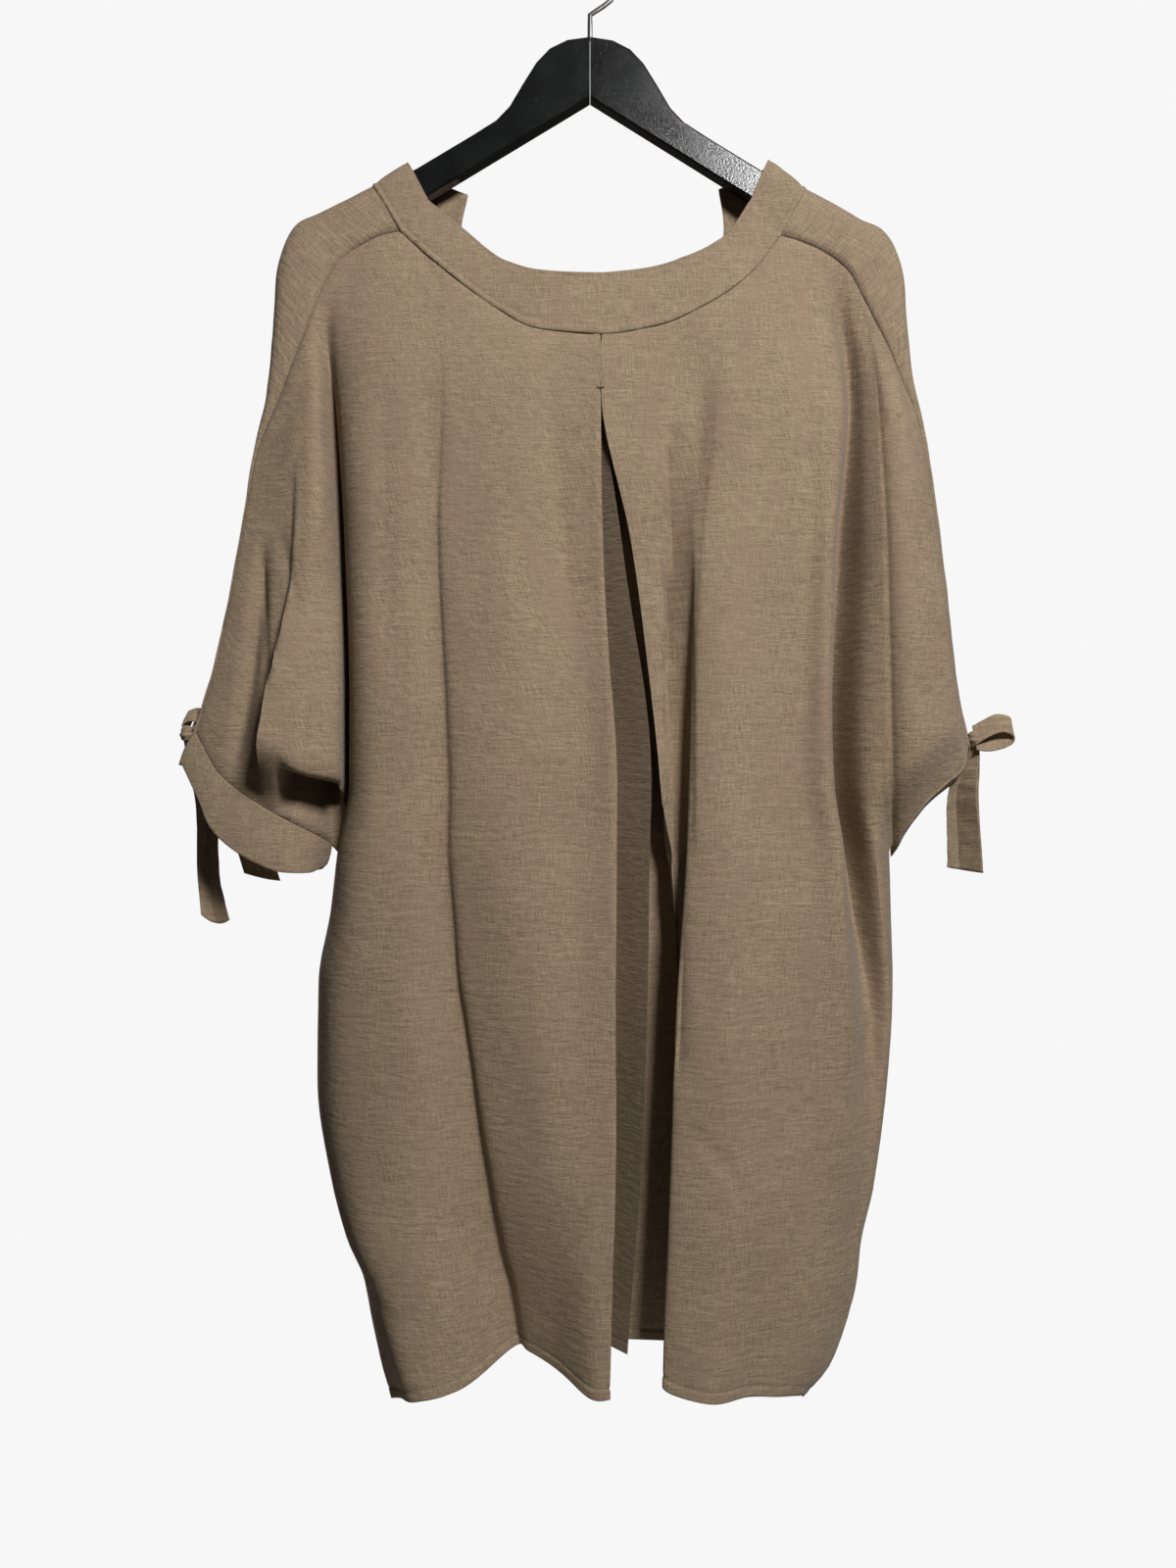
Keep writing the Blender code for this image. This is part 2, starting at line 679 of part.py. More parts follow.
def body_row(lines, heights, splits):
    """One row across a body: a smooth curve through the lines, broken at sharp folds."""
    points = [line.point(height) for line, height in zip(lines, heights)]
    row = []
    for i in range(len(points) - 1):
        begins = i == 0 or lines[i].kind == "sharp"
        ends = i + 2 == len(points) or lines[i + 1].kind == "sharp"
        before = points[i] if begins else points[i - 1]
        after = points[i + 1] if ends else points[i + 2]
        steps = splits if "hidden" not in (lines[i].kind, lines[i + 1].kind) else 1
        for step in range(steps):
            row.append(through(before, points[i], points[i + 1], after, step / steps))
    row.append(points[-1])
    return row


def hidden_columns(lines, splits):
    """The columns of a row that are the pleat's inner layers."""
    hidden = set()
    column = 0
    for line, after in zip(lines, lines[1:]):
        if line.kind == "hidden":
            hidden.add(column)
        column += splits if "hidden" not in (line.kind, after.kind) else 1
    return hidden


def seam_moves(row, neck, facing, hidden):
    """What puts each point of a top row on the seam; the pleat's layers stay behind it."""
    moves = []
    for column, point in enumerate(row):
        seam = seam_at(neck, point.x, facing)
        depth = point.y if column in hidden else seam.y
        below = HIDDEN_DROP if column in hidden else 0.0
        moves.append(Vector((seam.x, depth, seam.z - below)) - point)
    return moves


def body_grid(lines, neck, facing, splits):
    rows = []
    for share in UPPER_ROWS:
        heights = [mix(line.top.z, UNDERARM, share) for line in lines]
        row = body_row(lines, heights, splits)
        if not rows:
            moves = seam_moves(row, neck, facing, hidden_columns(lines, splits))
        left = 1 - ease(0, SEATED_REACH, share)
        rows.append([point + move * left for point, move in zip(row, moves)])
    for step in range(1, LOWER_ROWS + 1):
        share = step / LOWER_ROWS
        rows.append(body_row(lines, [mix(UNDERARM, line.hem, share) for line in lines], splits))
    return rows


# ---------------------------------------------------------------- the panels' sleeves

# How far the cloth under the left sleeve swells out, and lifts, in the pipe fold that ends in
# a round lip over the cuff. along runs from the strip seam down to the cuff seam.
PIPE = Table(
    "along forward lift",
    (0.24, 0, 0),
    (0.48, 10, 0),
    (0.60, 20, 0),
    (0.71, 30, -3),
    (0.79, 36, -8),
    (0.86, 40, -13),
    (0.90, 32, -4),
    (0.945, -14, 22),
    (1.00, 0, 0),
)
# Columns from the strip to the body; the last one ends where the cuff's seam turns.
LEFT_COLUMNS = (0, 0.12, 0.24, 0.36, 0.48, 0.56, 0.63, 0.71, 0.81, 0.90, 0.96)
RIGHT_COLUMNS = (0, 0.17, 0.34, 0.52, 0.68, 0.80, 0.88, 0.95)
STRIP_CORNER = 0.63  # along the strip, where a panel's top edge turns down its outer edge
CREASE_DEPTH = 9.0
LEFT_SWELL = 15.0
RIGHT_SWELL = 11.0
FAR_SWELL = 9.0


def pipe_shape(across):
    """How much of the pipe fold a column takes: none, all across its front, none again."""
    return ease(0.55, 0.65, across) * (1 - ease(0.93, 1.0, across))


def bump(centre, width, value):
    return math.exp(-(((value - centre) / width) ** 2))


def bank(across, along):
    """The sleeve's rise out of the narrow hollow beside the body."""
    rise = min(across / 0.80, 1.0) ** 1.2 * (1 - ease(0.84, 1.0, across))
    return rise * ease(0.0, 0.22, along) * (1 - ease(0.88, 1.0, along))


def left_swell(across, along):
    """The move off the smooth sleeve, on the pleated side of the left one."""
    shape = pipe_shape(across)
    forward = PIPE.at(along, "forward") * shape
    lift = PIPE.at(along, "lift") * shape
    crease = bump(0.24, 0.07, across) * ease(0.3, 0.6, along) * (1 - ease(0.86, 1.0, along))
    lean = 8 * bump(0.92, 0.06, across) - 5 * bump(0.61, 0.05, across)
    soft = LEFT_SWELL * bank(across, along) * (1 - ease(0.35, 0.6, along) * shape)
    return Vector((lean * forward / 40, CREASE_DEPTH * crease - forward - soft, lift))


def right_swell(across, along):
    rise = math.sin(math.pi * across) * ease(0.0, 0.22, along) * (1 - ease(0.88, 1.0, along))
    return Vector((0, -RIGHT_SWELL * rise, 0))


def far_swell(across, along):
    return Vector((0, FAR_SWELL * math.sin(math.pi * across) * math.sin(math.pi * along), 0))


def sleeve_grid(strip, cuff, facing, inner, columns, swell):
    """A sleeve's share of a panel, between the strip, the cuff and the body's first line."""
    join = find_along(strip, "seam_x", inner[0].x)

    def top(across):
        return strip_seam(strip, mix(STRIP_CORNER, join, across), facing)

    def bottom(across):
        if across > columns[-1]:
            return inner[-1]
        return cuff_point(cuff, across / columns[-1], "seam_", facing)

    def outer(along):
        return strip_seam(strip, mix(STRIP_CORNER, 1.0, along), facing)

    grid = []
    for along, inside in zip(UPPER_ROWS, inner):
        left_mean, right_mean = mix(top(0), bottom(0), along), mix(top(1), bottom(1), along)
        row = []
        for across in columns:
            up_and_down = mix(top(across), bottom(across), along)
            side_to_side = mix(outer(along), inside, across)
            corners = mix(left_mean, right_mean, across)
            row.append(up_and_down + side_to_side - corners + swell(across, along))
        row = grid_ends(row, outer(along), along, bottom, columns)
        grid.append(row)
    return grid


def grid_ends(row, outer, along, bottom, columns):
    """The strip's seam and the cuff's seam exactly, whatever the patch between them does."""
    if along >= 1.0:
        return [bottom(across) for across in columns]
    return [outer, *row[1:]]


def cuff_point(cuff, along, line, facing):
    """A point of a cuff's seam (seam_) or free edge (edge_) on one side."""
    side = "near_y" if facing < 0 else "far_y"
    depth = side if line == "seam_" else line + side
    return Vector([cuff.at(along, name) for name in (line + "x", depth, line + "z")])


class Panel(Sheet):
    """A whole panel: left sleeve, body and right sleeve, with gaps beside the lower body."""

    def __init__(self, lines, neck, facing, splits):
        body = body_grid(lines, neck, facing, splits)
        self.upper = len(UPPER_ROWS) - 1
        moves = (left_swell, right_swell) if facing < 0 else (far_swell, far_swell)
        left_inner = [row[0] for row in body[: self.upper + 1]]
        right_inner = [row[-1] for row in body[: self.upper + 1]]
        left = sleeve_grid(STRIP_LEFT, CUFF_LEFT, facing, left_inner, LEFT_COLUMNS, moves[0])
        right = sleeve_grid(STRIP_RIGHT, CUFF_RIGHT, facing, right_inner, RIGHT_COLUMNS, moves[1])
        gaps = ([None] * len(LEFT_COLUMNS), [None] * len(RIGHT_COLUMNS))
        grid = []
        for place, row in enumerate(body):
            sleeves = (left[place], right[place][::-1]) if place <= self.upper else gaps
            grid.append([*sleeves[0], *row, *sleeves[1]])
        super().__init__(grid, lambda point: Vector((0, facing, 0)))
        self.facing = facing
        self.neck = neck
        self.width = len(grid[0])
        self.hidden = {j + len(LEFT_COLUMNS) for j in hidden_columns(lines, splits)}

    def neck_columns(self):
        """The columns whose tops are sewn to the band: the pleat's inner layers aren't."""
        left, right = self.neck.at(0.0, "outer_x"), self.neck.at(1.0, "outer_x")
        return [
            j for j, point in enumerate(self.grid[0])
            if left - 0.01 <= point.x <= right + 0.01 and j not in self.hidden
        ]

    def strip_edge(self, side):
        """Corners from the neck's corner down to the cuff."""
        columns = self.neck_columns()
        top = range(columns[0], -1, -1) if side < 0 else range(columns[-1], self.width)
        edge = 0 if side < 0 else self.width - 1
        return [(0, j) for j in top] + [(i, edge) for i in range(1, self.upper + 1)]

    def cuff_edge(self, side):
        """Corners from the strip to the point where the cuff's seam turns."""
        if side < 0:
            return [(self.upper, j) for j in range(len(LEFT_COLUMNS))]
        return [(self.upper, self.width - 1 - j) for j in range(len(RIGHT_COLUMNS))]

    def side_edge(self, side):
        """Corners from that turn over the underarm and down to the hem."""
        turn = len(LEFT_COLUMNS) - 1 if side < 0 else self.width - len(RIGHT_COLUMNS)
        body = turn + 1 if side < 0 else turn - 1
        rows = range(self.upper, len(self.grid))
        return [(self.upper, turn)] + [(i, body) for i in rows]


# ---------------------------------------------------------------- strips, bands and cuffs


class Strip(Sheet):
    """The piece over a shoulder and down the top of a sleeve, between the two panels."""

    def __init__(self, side, panels):
        self.table = STRIP_LEFT if side < 0 else STRIP_RIGHT
        self.runs = {panel: self.run_of(panel, side) for panel in panels}
        stations = sorted({round(along, 6) for run in self.runs.values() for along, _ in run})
        self.stations = [
            along for place, along in enumerate(stations)
            if place == 0 or along - stations[place - 1] > 1e-4
        ]
        near, far = panels
        grid = []
        for along in self.stations:
            ridge = Vector((self.table.at(along, "ridge_x"), 0, self.table.at(along, "ridge_z")))
            near_turn = over_ridge(self.point_on(near, along), ridge)
            far_turn = over_ridge(self.point_on(far, along), ridge)
            grid.append([*near_turn, *far_turn[-2::-1]])
        super().__init__(grid, lambda point: Vector((side, 0, 1)))
        for panel, column in ((near, 0), (far, len(grid[0]) - 1)):
            corners = [corner for _, corner in self.runs[panel]]
            places = [
                ((i, column), self.position_on(panel, along))
                for i, along in enumerate(self.stations)
            ]
            sew(panel, corners, self, places)

    def run_of(self, panel, side):
        """A panel's edge as (share along the strip, corner)."""
        edge = panel.strip_edge(side)
        return [(find_along(self.table, "seam_x", panel.point(corner).x), corner) for corner in edge]

    def position_on(self, panel, along):
        """Where a station falls on a panel's edge, counted in that edge's own points."""
        run = self.runs[panel]
        for k in range(len(run) - 1):
            if along <= run[k + 1][0] + 1e-4:
                position = k + clamp((along - run[k][0]) / (run[k + 1][0] - run[k][0]))
                return float(round(position)) if abs(position - round(position)) < 1e-3 else position
        return float(len(run) - 1)

    def point_on(self, panel, along):
        position = self.position_on(panel, along)
        k = min(int(position), len(self.runs[panel]) - 2)
        before, after = self.runs[panel][k][1], self.runs[panel][k + 1][1]
        return mix(panel.point(before), panel.point(after), position - k)

    def end_corners(self, row, facing=0):
        """Corners across one end, from a seam to the ridge, or over it to the other seam."""
        middle = len(OVER_TURN) - 1
        row %= len(self.grid)
        if facing < 0:
            return [(row, j) for j in range(middle + 1)]
        if facing > 0:
            return [(row, j) for j in range(2 * middle, middle - 1, -1)]
        return [(row, j) for j in range(2 * middle + 1)]


NECK_RIDGES = {-1: Vector((-136, 0, -157)), 1: Vector((133, 0, -155))}
SHOULDER_SEAM_REACH = 1.0  # mm from the top of the shoulder to each band's own end


def build_band(name, panel, strips, finish):
    """One side of the neckband, from shoulder to shoulder: free edge, middle and seam."""
    columns = panel.neck_columns()
    runs = {side: strip.end_corners(0, panel.facing) for side, strip in strips.items()}
    seam = [strips[-1].point(corner) for corner in runs[-1][:0:-1]]
    seam += [panel.grid[0][j] for j in columns]
    seam += [strips[1].point(corner) for corner in runs[1][1:]]
    shares = [find_along(panel.neck, "outer_x", panel.grid[0][j].x) for j in columns]
    free = [neck_edge(panel.neck, along, "inner") for along in shares]
    free = over_ridge(free[0], NECK_RIDGES[-1])[:0:-1] + free
    free += over_ridge(free[-1], NECK_RIDGES[1])[1:]
    grid = [free, [mix(a, b, 0.5) for a, b in zip(free, seam)], seam]
    for row in grid:
        for end, inside in ((0, 1), (-1, -2)):
            row[end] = row[end] + (row[inside] - row[end]).normalized() * SHOULDER_SEAM_REACH
    band = Sheet(grid, lambda point: Vector((0, panel.facing, 0.5)))
    turn = len(OVER_TURN) - 1
    first, last = turn, turn + len(columns) - 1
    sew(panel, [(0, j) for j in columns], band, [((2, first + k), k) for k in range(len(columns))])
    ends = {-1: [(2, first - k) for k in range(turn + 1)], 1: [(2, last + k) for k in range(turn + 1)]}
    for side, strip in strips.items():
        sew(strip, runs[side], band, [(corner, k) for k, corner in enumerate(ends[side])])
        neck_corner = (0, columns[0 if side < 0 else -1])
        share_corner((panel, neck_corner), (strip, runs[side][0]), (band, ends[side][0]))
    return band.solid(name, finish)


UNDERARM_EASE = 1.2  # mm more of a gap where both panels and a cuff meet


def build_cuff(name, side, near, far, strip, finish):
    """A cuff: a ring sewn to both panels' sleeve ends and to the end of the strip."""
    cuff = CUFF_LEFT if side < 0 else CUFF_RIGHT
    columns = LEFT_COLUMNS if side < 0 else RIGHT_COLUMNS
    shares = [across / columns[-1] for across in columns]
    near_edge, far_edge = near.cuff_edge(side), far.cuff_edge(side)
    over = strip.end_corners(-1)
    seam = [near.point(corner) for corner in near_edge]
    seam += [far.point(corner) for corner in far_edge[-2::-1]]
    free = [cuff_point(cuff, along, "edge_", -1) for along in shares]
    free += [cuff_point(cuff, along, "edge_", 1) for along in shares[-2::-1]]
    first_drop, last_drop = free[0] - seam[0], free[-1] - seam[-1]
    for k, corner in enumerate(over[-2:0:-1]):
        point = strip.point(corner)
        seam.append(point)
        free.append(point + mix(last_drop, first_drop, (k + 1) / (len(over) - 1)))
    grid = [seam, [mix(a, b, 0.5) for a, b in zip(seam, free)], free]
    middle = sum(seam, Vector((0, 0, 0))) / len(seam)
    ring = Sheet(grid, lambda point: point - middle, ring=True)
    turn = len(columns) - 1
    sew(near, near_edge, ring, [((0, k), k) for k in range(turn + 1)])
    sew(far, far_edge, ring, [((0, 2 * turn - k), k) for k in range(turn + 1)])
    last = len(seam)
    over_places = [((0, k % last), 2 * turn + len(over) - 1 - k) for k in range(2 * turn, last + 1)]
    sew(strip, over, ring, over_places)
    up, forward = Vector((0, 0, 1)), Vector((0, -1, 0))
    part_corner(near, near_edge[-1], [up, forward])
    part_corner(far, far_edge[-1], [up, -forward])
    part_corner(ring, (0, turn), [-up])
    ring.shifts[0, turn].append(Vector((side, 0, -1)) * UNDERARM_EASE)
    return ring.solid(name, finish)


# ---------------------------------------------------------------- ties

# A tail's run: the middle of the strip at each step, and its half width there; crease is how
# far the middle lies behind its long edges where the strip is folded along.
TIES = {
    "tie_left_tail_a": Table(
        "step x y z half crease",
        (0, -303.9, 9.0, -585.9, 3.5, 2),
        (1, -301, 22, -606, 7, 4),
        (2, -295, 27, -640, 8, 6),
        (3, -293, 25, -690, 8.5, 5),
        (4, -286, 22, -724, 11, 3),
    ),
    "tie_left_tail_b": Table(
        "step x y z half crease",
        (0, -300.5, 14.9, -588, 3.5, 1),
        (1, -286, 28, -608, 9, 2),
        (2, -268, 33, -650, 13, 2),
        (3, -254, 33, -694, 14, 1),
    ),
    "tie_right_tail_a": Table(
        "step x y z half crease",
        (0, 289.5, 1, -594, 2.5, 1),
        (1, 289.5, 2, -603, 4.5, 3),
        (2, 286, 3, -614, 6.5, 5),
        (3, 280, 4, -632, 10, 8),
        (4, 280, 5, -652, 11, 8),
        (5, 282, 4, -686, 13, 7),
    ),
    "tie_right_tail_b": Table(
        "step x y z half crease",
        (0, 289, 7.1, -591.5, 2.5, 1),
        (1, 291, 12, -601, 4.5, 1),
        (2, 290.5, 15, -612, 6, 2),
        (3, 288, 16, -632, 8, 3),
        (4, 288, 15, -672, 10, 2),
    ),
}
END_SLANTS = {
    "tie_left_tail_a": 5,
    "tie_left_tail_b": -3,
    "tie_right_tail_a": -2,
    "tie_right_tail_b": 2,
}
# A loop's run seen from the pleated side.
LOOPS = {
    "tie_left_loop": Table(
        "step x z",
        (0, -303.6, -575.2),
        (1, -307.8, -572.6),
        (2, -307.2, -568.0),
        (3, -301.0, -565.6),
        (4, -296.3, -567.2),
        (5, -297.8, -570.8),
        (6, -301.1, -574.2),
    ),
    "tie_right_loop": Table(
        "step x z",
        (0, 292.3, -582.3),
        (1, 298.7, -575.3),
        (2, 307.5, -571.6),
        (3, 316, -577),
        (4, 317, -586),
        (5, 309, -592.6),
        (6, 299, -593.8),
        (7, 292.7, -590.3),
    ),
}
LOOP_WIDTHS = {"tie_left_loop": (0, 9, 3), "tie_right_loop": (0, 9, 5)}
LOOP_DEPTHS = {"tie_left_loop": 4, "tie_right_loop": 2}
KNOTS = {
    "tie_left_knot": dict(centre=(-302.3, 1, -583.4), size=(5, 7, 6)),
    "tie_right_knot": dict(centre=(287.9, 1, -587.4), size=(4.5, 7, 6)),
}
TIE_WALL = 1.6


def smooth_run(points, splits):
    """A smooth curve through points, with each stretch between two of them split."""
    run = []
    for i in range(len(points) - 1):
        before, after = points[max(i - 1, 0)], points[min(i + 2, len(points) - 1)]
        for step in range(splits):
            run.append(through(before, points[i], points[i + 1], after, step / splits))
    return [*run, points[-1]]


def build_tail(name, table, finish):
    """A flat strip folded softly along its middle, from the knot to its slanted free end."""
    splits = 2
    last = table.column("step")[-1]
    middles = smooth_run([Vector(row[1:4]) for row in table.rows], splits)
    grid = []
    for place, middle in enumerate(middles):
        step = place / splits
        half, crease = table.at(step, "half"), table.at(step, "crease")
        slant = END_SLANTS[name] * ease(last - 1, last, step)
        grid.append([
            middle + Vector((-half, -crease / 2, -slant)),
            middle + Vector((-half * 0.1, crease / 2, 0)),
            middle + Vector((half, -crease / 2, slant)),
        ])
    return Sheet(grid, lambda point: Vector((0, -1, 0))).solid(name, finish, TIE_WALL)


def build_loop(name, table, finish):
    """A band bent round into an open loop, both ends at the knot."""
    points = smooth_run([Vector((x, LOOP_DEPTHS[name], z)) for _, x, z in table.rows], 2)
    across = Vector(LOOP_WIDTHS[name])
    grid = [[point - across for point in points], points, [point + across for point in points]]
    return Sheet(grid, lambda point: Vector((0, -1, 0))).solid(name, finish, TIE_WALL)


def build_knot(name, row, finish):
    """The tie wound over itself: a small rounded cushion of cloth."""
    centre, size = Vector(row["centre"]), row["size"]
    sides, rings = 10, 6
    vertices = [centre + Vector((0, 0, size[2]))]
    for ring in range(1, rings):
        turn = math.pi * ring / rings
        for side in range(sides):
            angle = 2 * math.pi * side / sides
            swell = 1 + 0.08 * math.cos(3 * angle + ring)
            level = math.sin(turn) * swell
            place = (level * math.cos(angle), level * math.sin(angle), math.cos(turn))
            vertices.append(centre + Vector([a * b for a, b in zip(place, size)]))
    vertices.append(centre - Vector((0, 0, size[2])))
    last = len(vertices) - 1
    faces = []
    for side in range(sides):
        after = (side + 1) % sides
        faces.append([0, 1 + side, 1 + after])
        for ring in range(rings - 2):
            start = 1 + ring * sides
            faces.append([start + side, start + sides + side, start + sides + after, start + after])
        start = 1 + (rings - 2) * sides
        faces.append([start + side, last, start + after])
    return add_object(name, vertices, faces, finish)


# ---------------------------------------------------------------- build


def clear_scene():
    for item in list(bpy.data.objects):
        bpy.data.objects.remove(item, do_unlink=True)


def build():
    clear_scene()
    linen = material("linen", (0.29, 0.23, 0.165), 0.85)
    lacquer = material("black_lacquer", (0.012, 0.012, 0.013), 0.25)
    steel = material("polished_wire", (0.6, 0.6, 0.6), 0.25, 1.0)
    build_arm("hanger_arm_left", -1, lacquer)
    build_arm("hanger_arm_right", 1, lacquer)
    build_hook(steel)
    near = Panel(pleated_lines(), NECK_PLEATED, -1, 2)
    far = Panel(plain_lines(), NECK_PLAIN, 1, 2)
    strips = {side: Strip(side, (near, far)) for side in (-1, 1)}
    build_band("neckband_pleated", near, strips, linen)
    build_band("neckband_plain", far, strips, linen)
    build_cuff("cuff_left", -1, near, far, strips[-1], linen)
    build_cuff("cuff_right", 1, near, far, strips[1], linen)
    for side in (-1, 1):
        pairs = list(zip(near.side_edge(side)[1:], far.side_edge(side)[1:]))
        lay_together(near, far, pairs, Vector((0, -1, 0)))
    near.solid("panel_pleated", linen)
    far.solid("panel_plain", linen)
    strips[-1].solid("sleeve_top_left", linen)
    strips[1].solid("sleeve_top_right", linen)
    for name, table in TIES.items():
        build_tail(name, table, linen)
    for name, table in LOOPS.items():
        build_loop(name, table, linen)
    for name, row in KNOTS.items():
        build_knot(name, row, linen)


build()
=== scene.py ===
"""The looks of a linen tunic top with dolman sleeves, hanging on a black wooden hanger.

Lengths in the tables are millimetres, in the frame that the solids use: X along the shoulders,
-Y the side with the pleat, Z up, and the origin where the hanger's hook rests on its rod.
"""

import math

import bpy
import numpy as np
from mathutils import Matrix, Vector, noise


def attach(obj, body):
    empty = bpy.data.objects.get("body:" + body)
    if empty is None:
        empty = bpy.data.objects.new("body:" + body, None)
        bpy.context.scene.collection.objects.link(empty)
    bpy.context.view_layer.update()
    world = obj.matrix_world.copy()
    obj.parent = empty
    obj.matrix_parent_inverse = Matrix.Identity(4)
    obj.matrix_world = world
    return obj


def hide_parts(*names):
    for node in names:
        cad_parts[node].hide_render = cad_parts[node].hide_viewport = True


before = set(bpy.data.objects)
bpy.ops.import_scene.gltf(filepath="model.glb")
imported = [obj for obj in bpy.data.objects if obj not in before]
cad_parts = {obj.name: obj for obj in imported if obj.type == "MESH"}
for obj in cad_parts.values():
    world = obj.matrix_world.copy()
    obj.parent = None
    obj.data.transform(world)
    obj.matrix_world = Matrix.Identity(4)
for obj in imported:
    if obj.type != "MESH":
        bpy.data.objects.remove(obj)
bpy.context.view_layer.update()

MM = 0.001


# ---------------------------------------------------------------- camera, floor and light
# A level camera stands a metre in front of the garment's middle. A round pale floor lies
# below, a small lamp stands up on the right in front, and a wide one lights the back.


def add_object(name, data):
    made = bpy.data.objects.new(name, data)
    bpy.context.scene.collection.objects.link(made)
    return made


CAMERA_DISTANCE = 1.0
VIEW_MIDDLE_X = -0.0015
VIEW_MIDDLE_LEVEL = -0.621
VIEW_HALF_HEIGHT = 0.5884  # metres seen above and below the middle, at the hanger's plane
SENSOR_HEIGHT = 36.0
camera_data = bpy.data.cameras.new("camera")
camera_data.sensor_fit = "VERTICAL"
camera_data.sensor_height = SENSOR_HEIGHT
camera_data.lens = SENSOR_HEIGHT / 2 * CAMERA_DISTANCE / VIEW_HALF_HEIGHT
camera = add_object("camera", camera_data)
camera.location = (VIEW_MIDDLE_X, -CAMERA_DISTANCE, VIEW_MIDDLE_LEVEL)
camera.rotation_euler = (math.radians(90), 0, 0)
bpy.context.scene.camera = camera

bpy.context.scene.view_settings.view_transform = "Standard"

FLOOR_LEVEL = -1.50
FLOOR_RADIUS = 0.42
FLOOR_SIDES = 96


class Value:
    """A shader socket on which sums are written; each operation adds its Math node."""

    def __init__(self, tree, socket):
        self.tree = tree
        self.socket = socket

    def sum_of(self, operation, first, second=None):
        node = self.tree.nodes.new("ShaderNodeMath")
        node.operation = operation
        for place, value in enumerate((first, second)):
            if isinstance(value, Value):
                self.tree.links.new(value.socket, node.inputs[place])
            elif value is not None:
                node.inputs[place].default_value = value
        return Value(self.tree, node.outputs[0])

    def __add__(self, other):
        return self.sum_of("ADD", self, other)

    def __radd__(self, other):
        return self.sum_of("ADD", other, self)

    def __sub__(self, other):
        return self.sum_of("SUBTRACT", self, other)

    def __rsub__(self, other):
        return self.sum_of("SUBTRACT", other, self)

    def __mul__(self, other):
        return self.sum_of("MULTIPLY", self, other)

    def __rmul__(self, other):
        return self.sum_of("MULTIPLY", other, self)

    def sine(self):
        return self.sum_of("SINE", self)


class Finish:
    """A material around its Principled shader."""

    def __init__(self, name):
        self.material = bpy.data.materials.new(name)
        self.material.use_nodes = True
        self.tree = self.material.node_tree
        self.shader = self.tree.nodes["Principled BSDF"]

    def give(self, socket, value):
        if isinstance(value, Value):
            self.tree.links.new(value.socket, socket)
        else:
            socket.default_value = value

    def node(self, kind, settings, inputs, output=0):
        """Adds a node: its settings first, then its sockets' values or links by name or place."""
        made = self.tree.nodes.new(kind)
        for name, value in settings.items():
            setattr(made, name, value)
        for name, value in inputs.items():
            self.give(made.inputs[name], value)
        return Value(self.tree, made.outputs[output])

    def set(self, **sockets):
        """Sets the shader's own sockets, named with _ for a space."""
        for name, value in sockets.items():
            self.give(self.shader.inputs[name.replace("_", " ")], value)

    def noise(self, vector, scale, detail=2.0, roughness=0.5):
        return self.node(
            "ShaderNodeTexNoise",
            {},
            {"Vector": vector, "Scale": scale, "Detail": detail, "Roughness": roughness},
        )

    def streaks(self, vector, scales, detail=2.0, roughness=0.5):
        """Noise with a scale of its own along each axis."""
        scaled = self.node(
            "ShaderNodeVectorMath", {"operation": "MULTIPLY"}, {0: vector, 1: scales}
        )
        return self.noise(scaled, 1.0, detail, roughness)

    def blend(self, first, second, share):
        return self.node(
            "ShaderNodeMix", {"data_type": "RGBA"}, {0: share, 6: first, 7: second}, 2
        )

    def between(self, value, low, high, start=0.0, end=1.0):
        """A value from low to high, spread over start to end and held there."""
        return self.node(
            "ShaderNodeMapRange", {"clamp": True}, {0: value, 1: low, 2: high, 3: start, 4: end}
        )

    def relief(self, height, distance):
        return self.node("ShaderNodeBump", {}, {"Height": height, "Distance": distance})


floor_paint = Finish("floor_paint")
on_floor = floor_paint.node("ShaderNodeTexCoord", {}, {}, "Object")
floor_tone = floor_paint.noise(on_floor, 3.0)
floor_paint.set(
    Base_Color=floor_paint.blend((0.80, 0.80, 0.79, 1), (0.84, 0.84, 0.83, 1), floor_tone),
    Roughness=0.9,
)
floor_mesh = bpy.data.meshes.new("floor")
floor_turns = [2 * math.pi * side / FLOOR_SIDES for side in range(FLOOR_SIDES)]
floor_mesh.from_pydata(
    [(FLOOR_RADIUS * math.cos(a), FLOOR_RADIUS * math.sin(a), FLOOR_LEVEL) for a in floor_turns],
    [],
    [tuple(range(FLOOR_SIDES))],
)
floor_mesh.materials.append(floor_paint.material)
floor = add_object("floor", floor_mesh)

GARMENT_MIDDLE = Vector((0, 0, -0.6))


def add_lamp(name, place, size, watts, glints):
    """A square lamp that faces the garment and isn't seen itself, though its glints may be."""
    data = bpy.data.lights.new(name, "AREA")
    data.shape = "SQUARE"
    data.size = size
    data.energy = watts
    lamp = add_object(name, data)
    lamp.location = place
    lamp.rotation_euler = (Vector(place) - GARMENT_MIDDLE).to_track_quat("Z", "Y").to_euler()
    lamp.visible_camera = False
    lamp.visible_glossy = glints


add_lamp("key_lamp", (0.70, -1.70, 0.62), 0.42, 52.5, glints=True)
add_lamp("back_lamp", (-0.9, 2.2, -0.1), 1.2, 60.0, glints=False)

